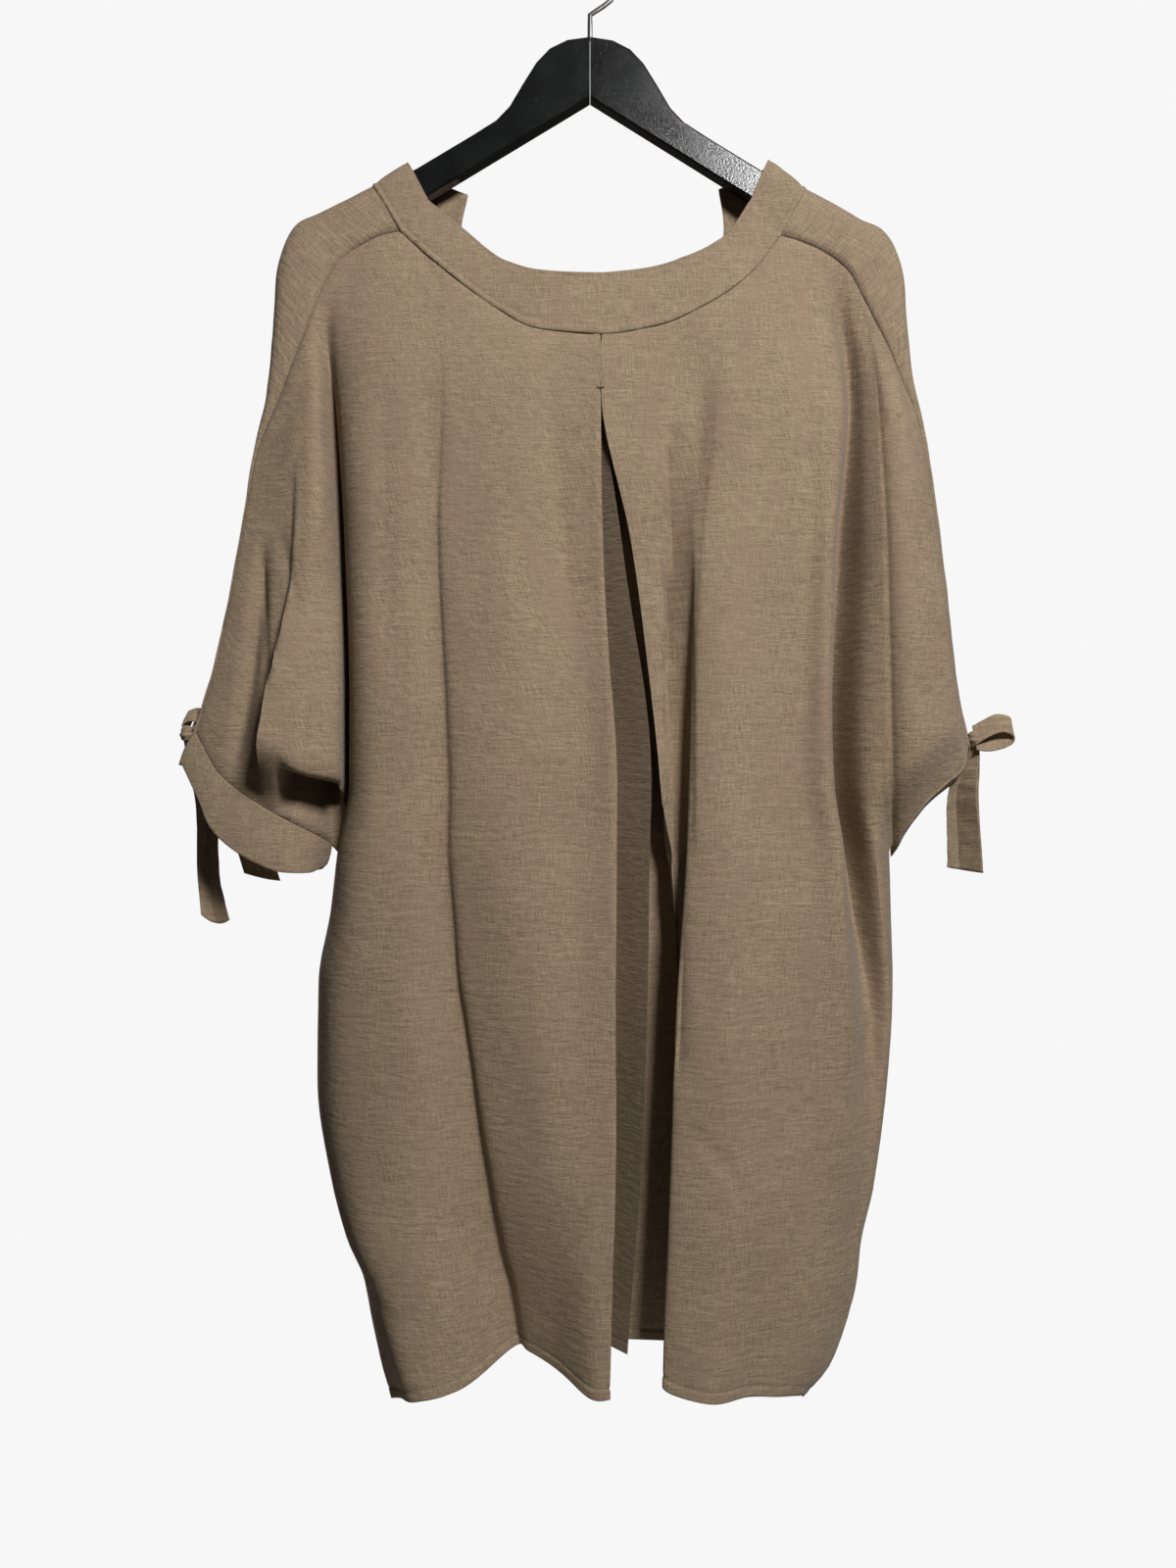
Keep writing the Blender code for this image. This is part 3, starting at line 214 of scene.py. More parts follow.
# The camera sees a white wall behind; the cloth gets a weaker and warmer fill.
FILL_COLOUR = (1.0, 0.93, 0.84, 1)
FILL_STRENGTH = 0.05
WALL_COLOUR = (1.0, 1.0, 1.0, 1)
WALL_STRENGTH = 0.93
world = bpy.data.worlds.new("studio")
world.use_nodes = True
bpy.context.scene.world = world
sky = world.node_tree
sky.nodes.clear()
ray = sky.nodes.new("ShaderNodeLightPath")
either = sky.nodes.new("ShaderNodeMixShader")
sky_out = sky.nodes.new("ShaderNodeOutputWorld")
sky.links.new(ray.outputs["Is Camera Ray"], either.inputs[0])
for entry, colour, strength in (
    (1, FILL_COLOUR, FILL_STRENGTH),
    (2, WALL_COLOUR, WALL_STRENGTH),
):
    background = sky.nodes.new("ShaderNodeBackground")
    background.inputs["Color"].default_value = colour
    background.inputs["Strength"].default_value = strength
    sky.links.new(background.outputs[0], either.inputs[entry])
sky.links.new(either.outputs[0], sky_out.inputs["Surface"])


# ---------------------------------------------------------------- the hanger's arms
# Two mitred halves of a flat wooden hanger, sanded with eased edges, glued at the joint and
# sprayed with black gloss lacquer, which follows the open grain and has caught a little dust.

BLACK_LACQUER = (0.003, 0.003, 0.004, 1)
DUSTY_LACQUER = (0.012, 0.013, 0.013, 1)

lacquer = Finish("black_lacquered_wood")
on_wood = lacquer.node("ShaderNodeTexCoord", {}, {}, "Object")
grain = lacquer.streaks(on_wood, (90.0, 700.0, 700.0), 4.0, 0.6)
specks = lacquer.noise(on_wood, 620.0, 3.0, 0.75)
dust = lacquer.noise(on_wood, 45.0, 3.0, 0.6)
lacquer.set(
    Base_Color=lacquer.blend(BLACK_LACQUER, DUSTY_LACQUER, dust),
    Roughness=0.08 + 0.06 * dust + 0.03 * grain,
    Normal=lacquer.relief(grain * 0.25 + specks * 0.9, 0.00017),
)
for node_name in ("hanger_arm_left", "hanger_arm_right"):
    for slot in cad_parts[node_name].material_slots:
        slot.material = lacquer.material


# ---------------------------------------------------------------- the hanger's hook
# One length of steel wire, bent on a round former into an open hook, polished, and screwed
# down into the joint between the two arms.

BRIGHT_STEEL = (0.52, 0.52, 0.53, 1)
TARNISHED_STEEL = (0.66, 0.65, 0.63, 1)

wire = Finish("polished_wire")
on_wire = wire.node("ShaderNodeTexCoord", {}, {}, "Object")
drawn = wire.streaks(on_wire, (900.0, 900.0, 60.0), 3.0)
tarnish = wire.noise(on_wire, 120.0, 3.0)
wire.set(
    Base_Color=wire.blend(BRIGHT_STEEL, TARNISHED_STEEL, tarnish),
    Roughness=0.16 + 0.14 * drawn + 0.08 * tarnish,
    Normal=wire.relief(drawn, 0.00003),
)
wire.set(Metallic=1.0)
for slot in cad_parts["hanger_hook"].material_slots:
    slot.material = wire.material


# ---------------------------------------------------------------- the two panels
# The pleated panel and the plain one, each cut with its half of the body and the under half
# of both sleeves in one piece of linen. The pleated one has an inverted pleat under the neck.

# The linen is a plain weave of unbleached and brown flax, washed soft. Thick and thin places
# in the yarns lie mostly across the cloth, and the tone varies in clouds and rosy blotches.
CUT = "cut"  # the UV map that holds each point's place in the flat cloth, in metres
YARN = 0.00075  # from the middle of one yarn to the next, in metres
LIGHT_FLAX = (0.385, 0.290, 0.188, 1)
DARK_FLAX = (0.135, 0.097, 0.060, 1)
ROSY_FLAX = (0.270, 0.184, 0.130, 1)


def make_linen():
    cloth = Finish("linen")
    place = cloth.node("ShaderNodeUVMap", {"uv_map": CUT}, {}, "UV")
    across = cloth.node("ShaderNodeSeparateXYZ", {}, {0: place}, 0)
    down = cloth.node("ShaderNodeSeparateXYZ", {}, {0: place}, 1)
    slubs = cloth.streaks(place, (85.0, 1150.0, 1.0), 3.0, 0.65)
    uprights = cloth.streaks(place, (1050.0, 75.0, 1.0), 3.0, 0.65)
    flecks = cloth.streaks(place, (560.0, 760.0, 1.0), 4.0, 0.8)
    long_slubs = cloth.streaks(place, (14.0, 520.0, 1.0))
    blotches = cloth.streaks(place, (42.0, 9.0, 1.0), 3.0, 0.6)
    clouds = cloth.streaks(place, (11.0, 13.0, 1.0))
    crinkle = cloth.streaks(place, (70.0, 230.0, 1.0), 3.0, 0.55)
    weave = (across * (math.pi / YARN)).sine() * (down * (math.pi / YARN)).sine()
    yarns = slubs * 0.32 + uprights * 0.30 + flecks * 0.40 + long_slubs * 0.10 + weave * 0.035
    light = cloth.between(yarns, 0.475, 0.64)
    flax = cloth.blend(DARK_FLAX, LIGHT_FLAX, light * 0.82 + clouds * 0.36)
    rosy = cloth.between(blotches, 0.44, 0.68, 0.0, 0.75)
    raised = weave * 0.10 + slubs * 0.22 + uprights * 0.16 + flecks * 0.15 + crinkle * 1.15
    cloth.set(
        Base_Color=cloth.blend(flax, ROSY_FLAX, rosy * (1.0 - 0.5 * light)),
        Roughness=0.78 + 0.16 * flecks,
        Normal=cloth.relief(raised, 0.001),
    )
    cloth.set(Specular_IOR_Level=0.28, Sheen_Weight=0.12, Sheen_Roughness=0.45)
    return cloth.material


linen = make_linen()


def clamp(value, low=0.0, high=1.0):
    return max(low, min(high, value))


def ease(start, end, value):
    """A soft step from 0 at start to 1 at end."""
    share = clamp((value - start) / (end - start))
    return share * share * (3 - 2 * share)


def mix(first, second, share):
    return first + (second - first) * share


def bump(centre, width, value):
    return math.exp(-(((value - centre) / width) ** 2))


def slope(keys, values, place):
    """The slope at one row: none at a peak, else between those of the stretches beside it."""
    if place in (0, len(keys) - 1):
        near = 1 if place == 0 else place - 1
        return (values[place] - values[near]) / (keys[place] - keys[near])
    before = (values[place] - values[place - 1]) / (keys[place] - keys[place - 1])
    after = (values[place + 1] - values[place]) / (keys[place + 1] - keys[place])
    if before * after <= 0:
        return 0.0
    return 2 * before * after / (before + after)


def curve_between(start, leave, end, arrive, t):
    """A cubic from start to end, with the slopes at which it leaves and arrives."""
    return (
        start * (2 * t**3 - 3 * t**2 + 1)
        + leave * (t**3 - 2 * t**2 + t)
        + end * (3 * t**2 - 2 * t**3)
        + arrive * (t**3 - t**2)
    )


def read_curve(keys, values, key):
    if key <= keys[0]:
        return values[0]
    if key >= keys[-1]:
        return values[-1]
    place = max(i for i, start in enumerate(keys) if start <= key)
    span = keys[place + 1] - keys[place]
    t = (key - keys[place]) / span
    leave = slope(keys, values, place) * span
    arrive = slope(keys, values, place + 1) * span
    return curve_between(values[place], leave, values[place + 1], arrive, t)


def through(before, start, end, after, t):
    """A smooth curve between start and end, aimed by the points before and after them."""
    return curve_between(start, (end - before) * 0.5, end, (after - start) * 0.5, t)


def smooth_run(points, splits):
    """A smooth curve through points, with each stretch between two of them split."""
    run = []
    for i in range(len(points) - 1):
        before, after = points[max(i - 1, 0)], points[min(i + 2, len(points) - 1)]
        for step in range(splits):
            run.append(through(before, points[i], points[i + 1], after, step / splits))
    return [*run, points[-1]]


class Table:
    """Rows of named columns, read along a smooth curve that never overshoots its rows."""

    def __init__(self, columns, *rows):
        self.names = columns.split()
        self.rows = sorted(rows, key=lambda row: row[0])
        self.columns = {name: [row[i] for row in self.rows] for i, name in enumerate(self.names)}

    def at(self, key, name):
        return read_curve(self.columns[self.names[0]], self.columns[name], key)


# The lines of the cut, from which every piece is made. First the neck, from the left strip
# seam to the right one: the band's free edge (inner) and its seam (outer).
NECK_PLEATED = Table(
    "along inner_x inner_z inner_y outer_x outer_z outer_y",
    (0.00, -120, -188, -11, -139, -211.5, -13),
    (0.12, -94, -210, -14, -112, -236, -17),
    (0.25, -62, -235, -17, -69, -270, -22),
    (0.37, -33, -243, -19, -39, -286, -26),
    (0.50, 4, -245, -20, 8, -290.7, -28),
    (0.63, 42, -241, -19, 50, -284, -27),
    (0.75, 71, -232, -18, 83, -269, -24),
    (0.88, 100, -215, -14.5, 117, -244, -19),
    (1.00, 119.5, -187, -11, 140, -214, -13),
)
NECK_PLAIN = Table(
    "along inner_x inner_z inner_y outer_x outer_z outer_y",
    (0.00, -93, -172, 15, -139, -211.5, 13),
    (0.12, -98, -200, 15, -134, -238, 16),
    (0.25, -90, -238, 17, -117, -277, 19),
    (0.37, -60, -276, 20, -74, -318, 22),
    (0.50, 2, -294, 22, 3, -337, 24),
    (0.63, 62, -275, 20, 76, -317, 22),
    (0.75, 93, -236, 17, 118, -276, 19),
    (0.88, 102, -198, 15, 135, -238, 16),
    (1.00, 98, -168, 15, 140, -214, 13),
)

# Each strip over a shoulder and down a sleeve: its seam on the pleated side, and its ridge.
STRIP_LEFT = Table(
    "along seam_x seam_z seam_y ridge_x ridge_z",
    (0.00, -139, -211.5, 13, -161, -174.5),
    (0.06, -154, -214, 13, -180, -185),
    (0.13, -171, -222, 13, -201, -195),
    (0.20, -185, -233, 14, -217, -203),
    (0.27, -195, -248, 15, -228, -220),
    (0.35, -206, -274, 16, -233.5, -244),
    (0.44, -218, -304, 15, -236, -284),
    (0.54, -232, -338, 12, -241, -330),
    (0.63, -247, -371, 8, -250.5, -371),
    (0.74, -259, -428, 8, -260, -430),
    (0.84, -268, -480, 9, -269, -484),
    (0.92, -279, -530, 9, -280, -535),
    (1.00, -293, -583, 10, -296, -584),
)
STRIP_RIGHT = Table(
    "along seam_x seam_z seam_y ridge_x ridge_z",
    (0.00, 140, -214, 13, 160, -177),
    (0.06, 158, -219.5, 13, 180, -187.5),
    (0.13, 176, -228, 13, 201, -199.5),
    (0.20, 191, -240, 13, 217, -207.3),
    (0.27, 201, -257, 13, 228, -223),
    (0.35, 208, -272, 14, 233.5, -245),
    (0.44, 219, -294, 14, 236, -276),
    (0.54, 231, -320, 11, 240.5, -318),
    (0.63, 242, -344, 8, 247.5, -346),
    (0.74, 256, -410, 8, 258, -412),
    (0.84, 265, -478, 9, 266, -482),
    (0.92, 271, -535, 9, 272, -540),
    (1.00, 280, -592, 10, 283, -592),
)

# The sleeve ends: the cuff's seam from the strip to the underarm, and the cuff's free edge.
CUFF_LEFT = Table(
    "along seam_x seam_z near_y far_y edge_x edge_z edge_near_y edge_far_y",
    (0.00, -293, -583, -10, 10, -303, -606, -11, 10),
    (0.15, -275, -612, -17, 15, -289, -632, -18, 15),
    (0.30, -259, -625, -23, 18, -278, -653, -25, 18),
    (0.45, -245, -634, -27, 19, -261, -668, -31, 20),
    (0.60, -231, -642, -30, 18, -243, -678, -35, 19),
    (0.75, -218, -649, -30, 15, -223, -685, -36, 17),
    (0.90, -202, -659, -18, 8, -206, -686, -26, 11),
    (1.00, -194, -666, -1, -1, -197, -681, -2, -2),
)
CUFF_RIGHT = Table(
    "along seam_x seam_z near_y far_y edge_x edge_z edge_near_y edge_far_y",
    (0.00, 280, -592, -10, 10, 281, -602, 4, 25),
    (0.15, 277, -606, -15, 14, 277.5, -614, 3, 31),
    (0.35, 262, -621, -18, 17, 262.5, -628, 2, 35),
    (0.55, 247, -635, -18, 18, 247.5, -642, 2, 36),
    (0.75, 237, -649, -14, 16, 238, -656, 4, 33),
    (0.90, 230.5, -660, -8, 10, 232, -668, 6, 25),
    (1.00, 227, -667, 0, 0, 229, -676, 13, 13),
)

# The body's sides: down the sleeve's hollow to the underarm, then the side seam to the hem.
UNDERARM = -672.0
SIDES_TOP = -262.0
SIDES_HEM = -1065.0
SIDES = Table(
    "height left_x left_y right_x right_y",
    (SIDES_TOP, -199, -15, 203, -13),
    (-340, -190, -3, 210, -20),
    (-450, -184, 3, 212, -34.5),
    (-560, -181, 4, 213, -37),
    (-620, -181, 4, 215, -32),
    (UNDERARM, -189, 0, 223, -3),
    (-716, -194, 0, 225, 0),
    (-768, -203, 0, 227, 2),
    (-842, -204, 0, 222, 2),
    (-915, -194, 0, 212, 2),
    (-955, -183, -3, 202, 0),
    (-984, -169, -8, 198, -6),
    (-1017, -160, -17, 188, -15),
    (-1045, -151, -28, 175, -26),
    (SIDES_HEM, -143, -36, 154, -34),
)
FAR_HOLLOW = Table(
    "height left_y right_y",
    (SIDES_TOP, 15, 13),
    (-340, 19, 17),
    (-450, 21, 20),
    (-560, 19, 19),
    (-620, 14, 14),
    (UNDERARM, 1.5, 1.0),
)

# From a strip's seam up to its ridge: the share of the depth left, and of the rise gained.
OVER_TURN = ((1.0, 0.0), (0.93, 0.70), (0.50, 0.98), (0.0, 1.0))


def neck_edge(neck, along, edge):
    return Vector([neck.at(along, edge + axis) for axis in ("_x", "_y", "_z")])


def find_along(table, name, value):
    """Where along a table a column whose size only grows reaches a value."""
    low, high = 0.0, 1.0
    rising = table.at(1.0, name) > table.at(0.0, name)
    for _ in range(30):
        middle = (low + high) / 2
        if (table.at(middle, name) < value) == rising:
            low = middle
        else:
            high = middle
    return (low + high) / 2


def strip_seam(strip, along, facing):
    """A point on a strip's seam; facing is -1 on the pleated side and 1 on the plain side."""
    depth = facing * strip.at(along, "seam_y")
    return Vector((strip.at(along, "seam_x"), depth, strip.at(along, "seam_z")))


def over_ridge(seam, ridge, far_seam=None, splits=4):
    """From a seam up over a ridge, and down to the far seam where one is given."""
    turn = []
    for depth, rise in OVER_TURN:
        level = mix(seam, ridge, rise)
        turn.append(Vector((level.x, mix(ridge.y, seam.y, depth), level.z)))
    if far_seam is None:
        return smooth_run(turn, splits)
    for depth, rise in OVER_TURN[-2::-1]:
        level = mix(far_seam, ridge, rise)
        turn.append(Vector((level.x, mix(ridge.y, far_seam.y, depth), level.z)))
    return smooth_run(turn, splits)


def seam_at(neck, x, facing):
    """The top of a panel above a given x: its neck seam, or the strip's seam past the neck."""
    left, right = neck.at(0.0, "outer_x"), neck.at(1.0, "outer_x")
    if left <= x <= right:
        return neck_edge(neck, find_along(neck, "outer_x", x), "outer")
    strip = STRIP_LEFT if x < 0 else STRIP_RIGHT
    return strip_seam(strip, find_along(strip, "seam_x", x), facing)


CLOTH_WALL = 1.3
SHARP_FOLD = math.radians(50)  # a fold sharper than this shows as a crisp edge


def corners(grid):
    """The four grid points round each cell."""
    return np.stack([grid[:-1, :-1], grid[1:, :-1], grid[1:, 1:], grid[:-1, 1:]], axis=2)


class Cloth:
    """A piece of cloth as a grid of points in millimetres; a ring's rows close on themselves."""

    def __init__(self, rows, outward, ring=False):
        gap = (math.nan, math.nan, math.nan)
        self.points = np.array([[gap if p is None else tuple(p) for p in row] for row in rows])
        self.ring = ring
        self.outward = np.asarray(outward, dtype=float)
        self.places = self.flat_places()

    def closed(self, grid):
        return np.concatenate([grid, grid[:, :1]], axis=1) if self.ring else grid

    def cells(self):
        """The facing of each cell, and which cells are cloth."""
        grid = self.closed(self.points)
        facing = np.cross(grid[1:, 1:] - grid[:-1, :-1], grid[:-1, 1:] - grid[1:, :-1])
        size = np.linalg.norm(facing, axis=2)
        real = np.isfinite(size)
        facing = np.where(real[..., None], facing / np.maximum(size, 1e-9)[..., None], 0.0)
        return facing, real

    def facings(self):
        """The way the cloth faces at each grid point, from the cells around it."""
        cells, _ = self.cells()
        rows, columns = cells.shape[0] + 1, cells.shape[1] + 1
        total = np.zeros((rows, columns, 3))
        for down in (0, 1):
            for over in (0, 1):
                total[down: down + rows - 1, over: over + columns - 1] += cells
        if self.ring:
            total[:, 0] += total[:, -1]
            total = total[:, :-1]
        total /= np.maximum(np.linalg.norm(total, axis=2), 1e-9)[..., None]
        return total * self.side()

    def side(self):
        cells, _ = self.cells()
        return 1.0 if (cells * self.outward).sum() >= 0 else -1.0

    def flat_places(self):
        """Each point's place in the flat cloth: lengths over the cloth, and down it."""
        grid = self.closed(self.points)
        steps = np.linalg.norm(np.diff(grid, axis=1), axis=2)
        start = np.zeros((len(grid), 1))
        over = np.concatenate([start, np.cumsum(np.nan_to_num(steps), axis=1)], axis=1)
        middle = grid.shape[1] // 2
        over -= over[:, middle: middle + 1]
        down = np.nan_to_num(-grid[:, :, 2])
        return np.stack([over, down], axis=2)

    def press(self, depths):
        """Moves each point into the cloth by its depth in millimetres."""
        self.points = self.points - self.facings() * depths[..., None]

    def beside(self, edge, away):
        """The line on the cloth's outer face that runs beside one of its edges, away from it."""
        grid, facing = self.points, self.facings()
        if edge in ("bottom", "right"):
            grid, facing = grid[::-1, ::-1], facing[::-1, ::-1]
        if edge in ("left", "right"):
            grid, facing = grid.transpose(1, 0, 2), facing.transpose(1, 0, 2)
        steps = np.linalg.norm(np.diff(grid, axis=0), axis=2)
        run = []
        for column in range(grid.shape[1]):
            if not np.isfinite(grid[0, column, 0]):
                continue
            reach = np.concatenate([[0.0], np.cumsum(steps[:, column])])
            place = int(np.searchsorted(reach, away))
            share = (away - reach[place - 1]) / (reach[place] - reach[place - 1])
            point = mix(grid[place - 1, column], grid[place, column], share)
            run.append(point + facing[place, column] * CLOTH_WALL / 2)
        return [*run, run[0]] if self.ring else run

    def object(self, name, finish, wall=CLOTH_WALL):
        """The cloth as a closed shell, half its wall to each side of the points."""
        grid = self.points
        real = np.isfinite(grid[..., 0])
        numbers = np.full(real.shape, -1)
        numbers[real] = np.arange(real.sum())
        numbers = self.closed(numbers[..., None])[..., 0]
        quads, places = corners(numbers), corners(self.places)
        whole = (quads >= 0).all(axis=2)
        quads, places = quads[whole], places[whole]
        if self.side() < 0:
            quads, places = quads[:, ::-1], places[:, ::-1]
        mesh = bpy.data.meshes.new(name)
        mesh.from_pydata((grid[real] * MM).tolist(), [], quads.tolist())
        chart = mesh.uv_layers.new(name=CUT)
        chart.data.foreach_set("uv", (places.reshape(-1, 2) * MM).ravel())
        mesh.materials.append(finish)
        mesh.shade_smooth()
        mesh.set_sharp_from_angle(angle=SHARP_FOLD)
        made = add_object(name, mesh)
        shell = made.modifiers.new("wall", "SOLIDIFY")
        shell.thickness = wall * MM
        shell.offset = 0.0
        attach(made, "root")
        return made


# Where the lines down the panels have their sizes, below the seam; the first is the bar of
# stitches down to which the pleat is closed.
LEVELS = (-334.0, -450.0, -620.0, -850.0, -1045.0)

# The pleat's own lines. x and y at the seam above and at each level; hem is the lower end.
PLEAT = {
    "left_fold": dict(x=(7.2, 7.2, 8.6, 17, 17.5, 13), y=(-28.5, -38, -46, -58, -70, -80), hem=-1046),
    "left_under": dict(x=(0, -2, -3, 3, 4, -1), y=(-25.8, -34, -39, -46, -56, -64), hem=-1040),
    "left_turn": dict(x=(-12, -13, -14, -9, -6, -8), y=(-23, -27, -28, -30, -34, -36), hem=-1035),
    "back_left": dict(x=(0, 0, 6, 20, 18, 9), y=(-19.4, -21, -21, -21, -21, -22), hem=-1030),
    "back_middle": dict(x=(8, 9, 23, 43.5, 38.5, 25), y=(-18.6, -32, -40, -50, -52, -48), hem=-1028),
    "back_right": dict(x=(18, 12, 21, 41, 36, 23), y=(-19.4, -22, -22, -22, -22, -22), hem=-1028),
    "right_turn": dict(x=(30, 33, 50, 74, 84, 80), y=(-23, -25, -22, -22, -22, -22), hem=-1030),
    "right_under": dict(x=(20, 20, 37, 61, 75, 71), y=(-25.8, -31, -34, -36, -38, -44), hem=-1030),
    "tongue": dict(x=(8.5, 8.5, 30.5, 50.5, 66, 60), y=(-28.5, -38, -44, -50, -44, -56), hem=-1031),
}

# The soft lines of each half. share runs across from the side to the pleat's fold, or from
# the tongue to the other side, at the seam above and at each level.
PLEATED_LEFT = {
    "bank": dict(share=(0.07, 0.04, 0.04, 0.04, 0.04, 0.06), y=(-21, -26, -30, -24, -44), hem=-1061),
    "crest": dict(share=(0.16, 0.13, 0.12, 0.12, 0.13, 0.16), y=(-32, -41, -48, -45, -66), hem=-1054),
    "field": dict(
        top=-139, share=(0.29, 0.29, 0.27, 0.27, 0.35, 0.37), y=(-36, -43, -51, -55, -60), hem=-1047
    ),
    "valley": dict(share=(0.42, 0.405, 0.375, 0.389, 0.535, 0.60), y=(-35, -38, -44, -40, -25), hem=-1031),
    "flank": dict(share=(0.48, 0.47, 0.43, 0.446, 0.586, 0.67), y=(-37, -43, -52, -51, -35), hem=-1031),
    "ridge": dict(share=(0.70, 0.71, 0.675, 0.645, 0.77, 0.79), y=(-38, -49, -60, -65, -54), hem=-1037),
    "shade": dict(share=(0.88, 0.88, 0.88, 0.88, 0.90, 0.92), y=(-36, -42, -54, -67, -78), hem=-1046),
}
PLEATED_RIGHT = {
    "slack": dict(share=(0.22, 0.30, 0.209, 0.13, 0.075, 0.10), y=(-34, -43, -46, -60, -69), hem=-1032),
    "roll": dict(share=(0.34, 0.39, 0.26, 0.12, -0.045, -0.072), y=(-37, -46, -60, -69, -78), hem=-1036),
    "lip": dict(share=(0.38, 0.42, 0.291, 0.155, -0.015, -0.03), y=(-38, -49, -66, -76, -84), hem=-1041),
    "crown": dict(share=(0.46, 0.49, 0.384, 0.27, 0.19, 0.21), y=(-39, -51, -69, -81, -87), hem=-1046),
    "field": dict(share=(0.575, 0.60, 0.517, 0.43, 0.38, 0.42), y=(-38, -47, -61, -70, -74), hem=-1047),
    "ridge": dict(
        top=140, share=(0.675, 0.74, 0.692, 0.61, 0.60, 0.60), y=(-35, -45, -55, -61, -68), hem=-1049
    ),
    "bank": dict(share=(0.80, 0.865, 0.795, 0.739, 0.74, 0.78), y=(-27, -43, -55, -52, -58), hem=-1053),
    "hollow": dict(share=(0.90, 0.92, 0.856, 0.793, 0.875, 0.90), y=(-2, 6, 9, -30, -46), hem=-1058),
    "lobe": dict(share=(0.955, 0.965, 0.944, 0.905, 0.96, 0.96), y=(-14, -24, -26, -25, -36), hem=-1061),
}
PLAIN_BODY = {
    "left_bank": dict(share=(0.07, 0.07, 0.07, 0.07, 0.07, 0.07), y=(21, 24, 26, 20, 8), hem=-1060),
    "left_crest": dict(
        top=-139, share=(0.149, 0.18, 0.18, 0.18, 0.17, 0.17), y=(21, 29, 35, 36, 36), hem=-1052
    ),
    "left_dip": dict(share=(0.30, 0.31, 0.31, 0.31, 0.30, 0.31), y=(22, 24, 26, 25, 19), hem=-1046),
    "left_ridge": dict(share=(0.41, 0.42, 0.43, 0.43, 0.42, 0.43), y=(24, 29, 34, 38, 40), hem=-1043),
    "middle_dip": dict(share=(0.52, 0.53, 0.54, 0.54, 0.54, 0.54), y=(24, 27, 29, 28, 22), hem=-1042),
    "right_ridge": dict(share=(0.64, 0.65, 0.66, 0.66, 0.66, 0.65), y=(23, 29, 36, 39, 39), hem=-1044),
    "right_dip": dict(share=(0.75, 0.76, 0.77, 0.77, 0.77, 0.77), y=(22, 25, 27, 26, 20), hem=-1048),
    "right_crest": dict(
        top=140, share=(0.843, 0.86, 0.87, 0.87, 0.86, 0.86), y=(21, 28, 34, 36, 34), hem=-1053
    ),
    "right_bank": dict(share=(0.93, 0.94, 0.94, 0.94, 0.94, 0.94), y=(20, 23, 24, 19, 8), hem=-1060),
}

NEARLY = 1e-6  # heights this close count as the same
SEAM_SHARES = (0.0, 0.002, 0.005, 0.009)  # rows close together beside a seam
HEM_SHARES = (0.0, 0.003, 0.008, 0.013, 0.016, 0.0185, 0.021, 0.024, 0.030)  # and at a hem
UPPER_STEPS = 56  # rows from the seam to the underarm
LOWER_STEPS = 54  # and from there to the hem
LINE_SPLITS = 8  # columns from one line to the next
HIDDEN_SPLITS = 2  # and between the pleat's inner layers
HIDDEN_RISE = 2.0  # how far above the seam's line the pleat's inner layers are caught
SEAM_PULL = 0.40  # the share of the way to the underarm over which the seam pulls the cloth
SIDE_BLEND = 45  # the height over which a side line comes in to the seam's end


def dense_ends(steps, last_shares=SEAM_SHARES):
    """Shares from 0 to 1, closer together at the start and at the end."""
    start, end = SEAM_SHARES[-1], 1 - last_shares[-1]
    inner = [mix(start, end, step / steps) for step in range(1, steps)]
    return [*SEAM_SHARES, *inner, *(1 - share for share in reversed(last_shares))]


UPPER_COUNT = len(dense_ends(UPPER_STEPS))


class Line:
    """A line down a panel: soft, the sharp edge of a fold, or hidden inside the pleat."""

    def __init__(self, top, x_at, y_at, hem, kind="soft"):
        self.top = top
        self.x_at = x_at
        self.y_at = y_at
        self.hem = hem
        self.kind = kind

    def point(self, height):
        return Vector((self.x_at(height), self.y_at(height), height))


def level_reader(top, values):
    """Reads a value at any height from its values at the seam above and at each level."""
    keys = [-top, *(-level for level in LEVELS)]
    return lambda height: read_curve(keys, values, -height)


def side_line(side, facing):
    """The body's left or right edge, on the wall of the panel that faces the given way."""
    neck = NECK_PLEATED if facing < 0 else NECK_PLAIN
    top = seam_at(neck, SIDES.at(SIDES_TOP, side + "_x"), facing)

    def near_top(height):
        return ease(-SIDES_TOP + SIDE_BLEND, -top.z, -height)

    def y_at(height):
        if height >= top.z - NEARLY:
            return top.y
        if height > UNDERARM:
            hollow = SIDES if facing < 0 else FAR_HOLLOW
            depth = hollow.at(height, side + "_y")
            return mix(depth, top.y, near_top(height))
        return SIDES.at(height, side + "_y")

    def x_at(height):
        return mix(SIDES.at(height, side + "_x"), top.x, near_top(height))

    return Line(top, x_at, y_at, SIDES_HEM)


def soft_line(row, neck, facing, left, right):
    """A soft line whose x is a share of the way between two other lines."""
    top_x = row.get("top", mix(left.top.x, right.top.x, row["share"][0]))
    top = seam_at(neck, top_x, facing)
    share_at = level_reader(top.z, row["share"])

    def x_at(height):
        if height >= top.z - NEARLY:
            return top.x
        return mix(left.x_at(height), right.x_at(height), share_at(height))

    return Line(top, x_at, level_reader(top.z, (top.y, *row["y"])), row["hem"])


def pleat_line(name, row):
    """A line of the pleat; only its two outer folds are seen whole."""
    top = seam_at(NECK_PLEATED, row["x"][0], -1)
    top.y = row["y"][0]
    kind = "sharp" if name in ("left_fold", "tongue") else "hidden"
    x_at, y_at = level_reader(top.z, row["x"]), level_reader(top.z, row["y"])
    return Line(top, x_at, y_at, row["hem"], kind)


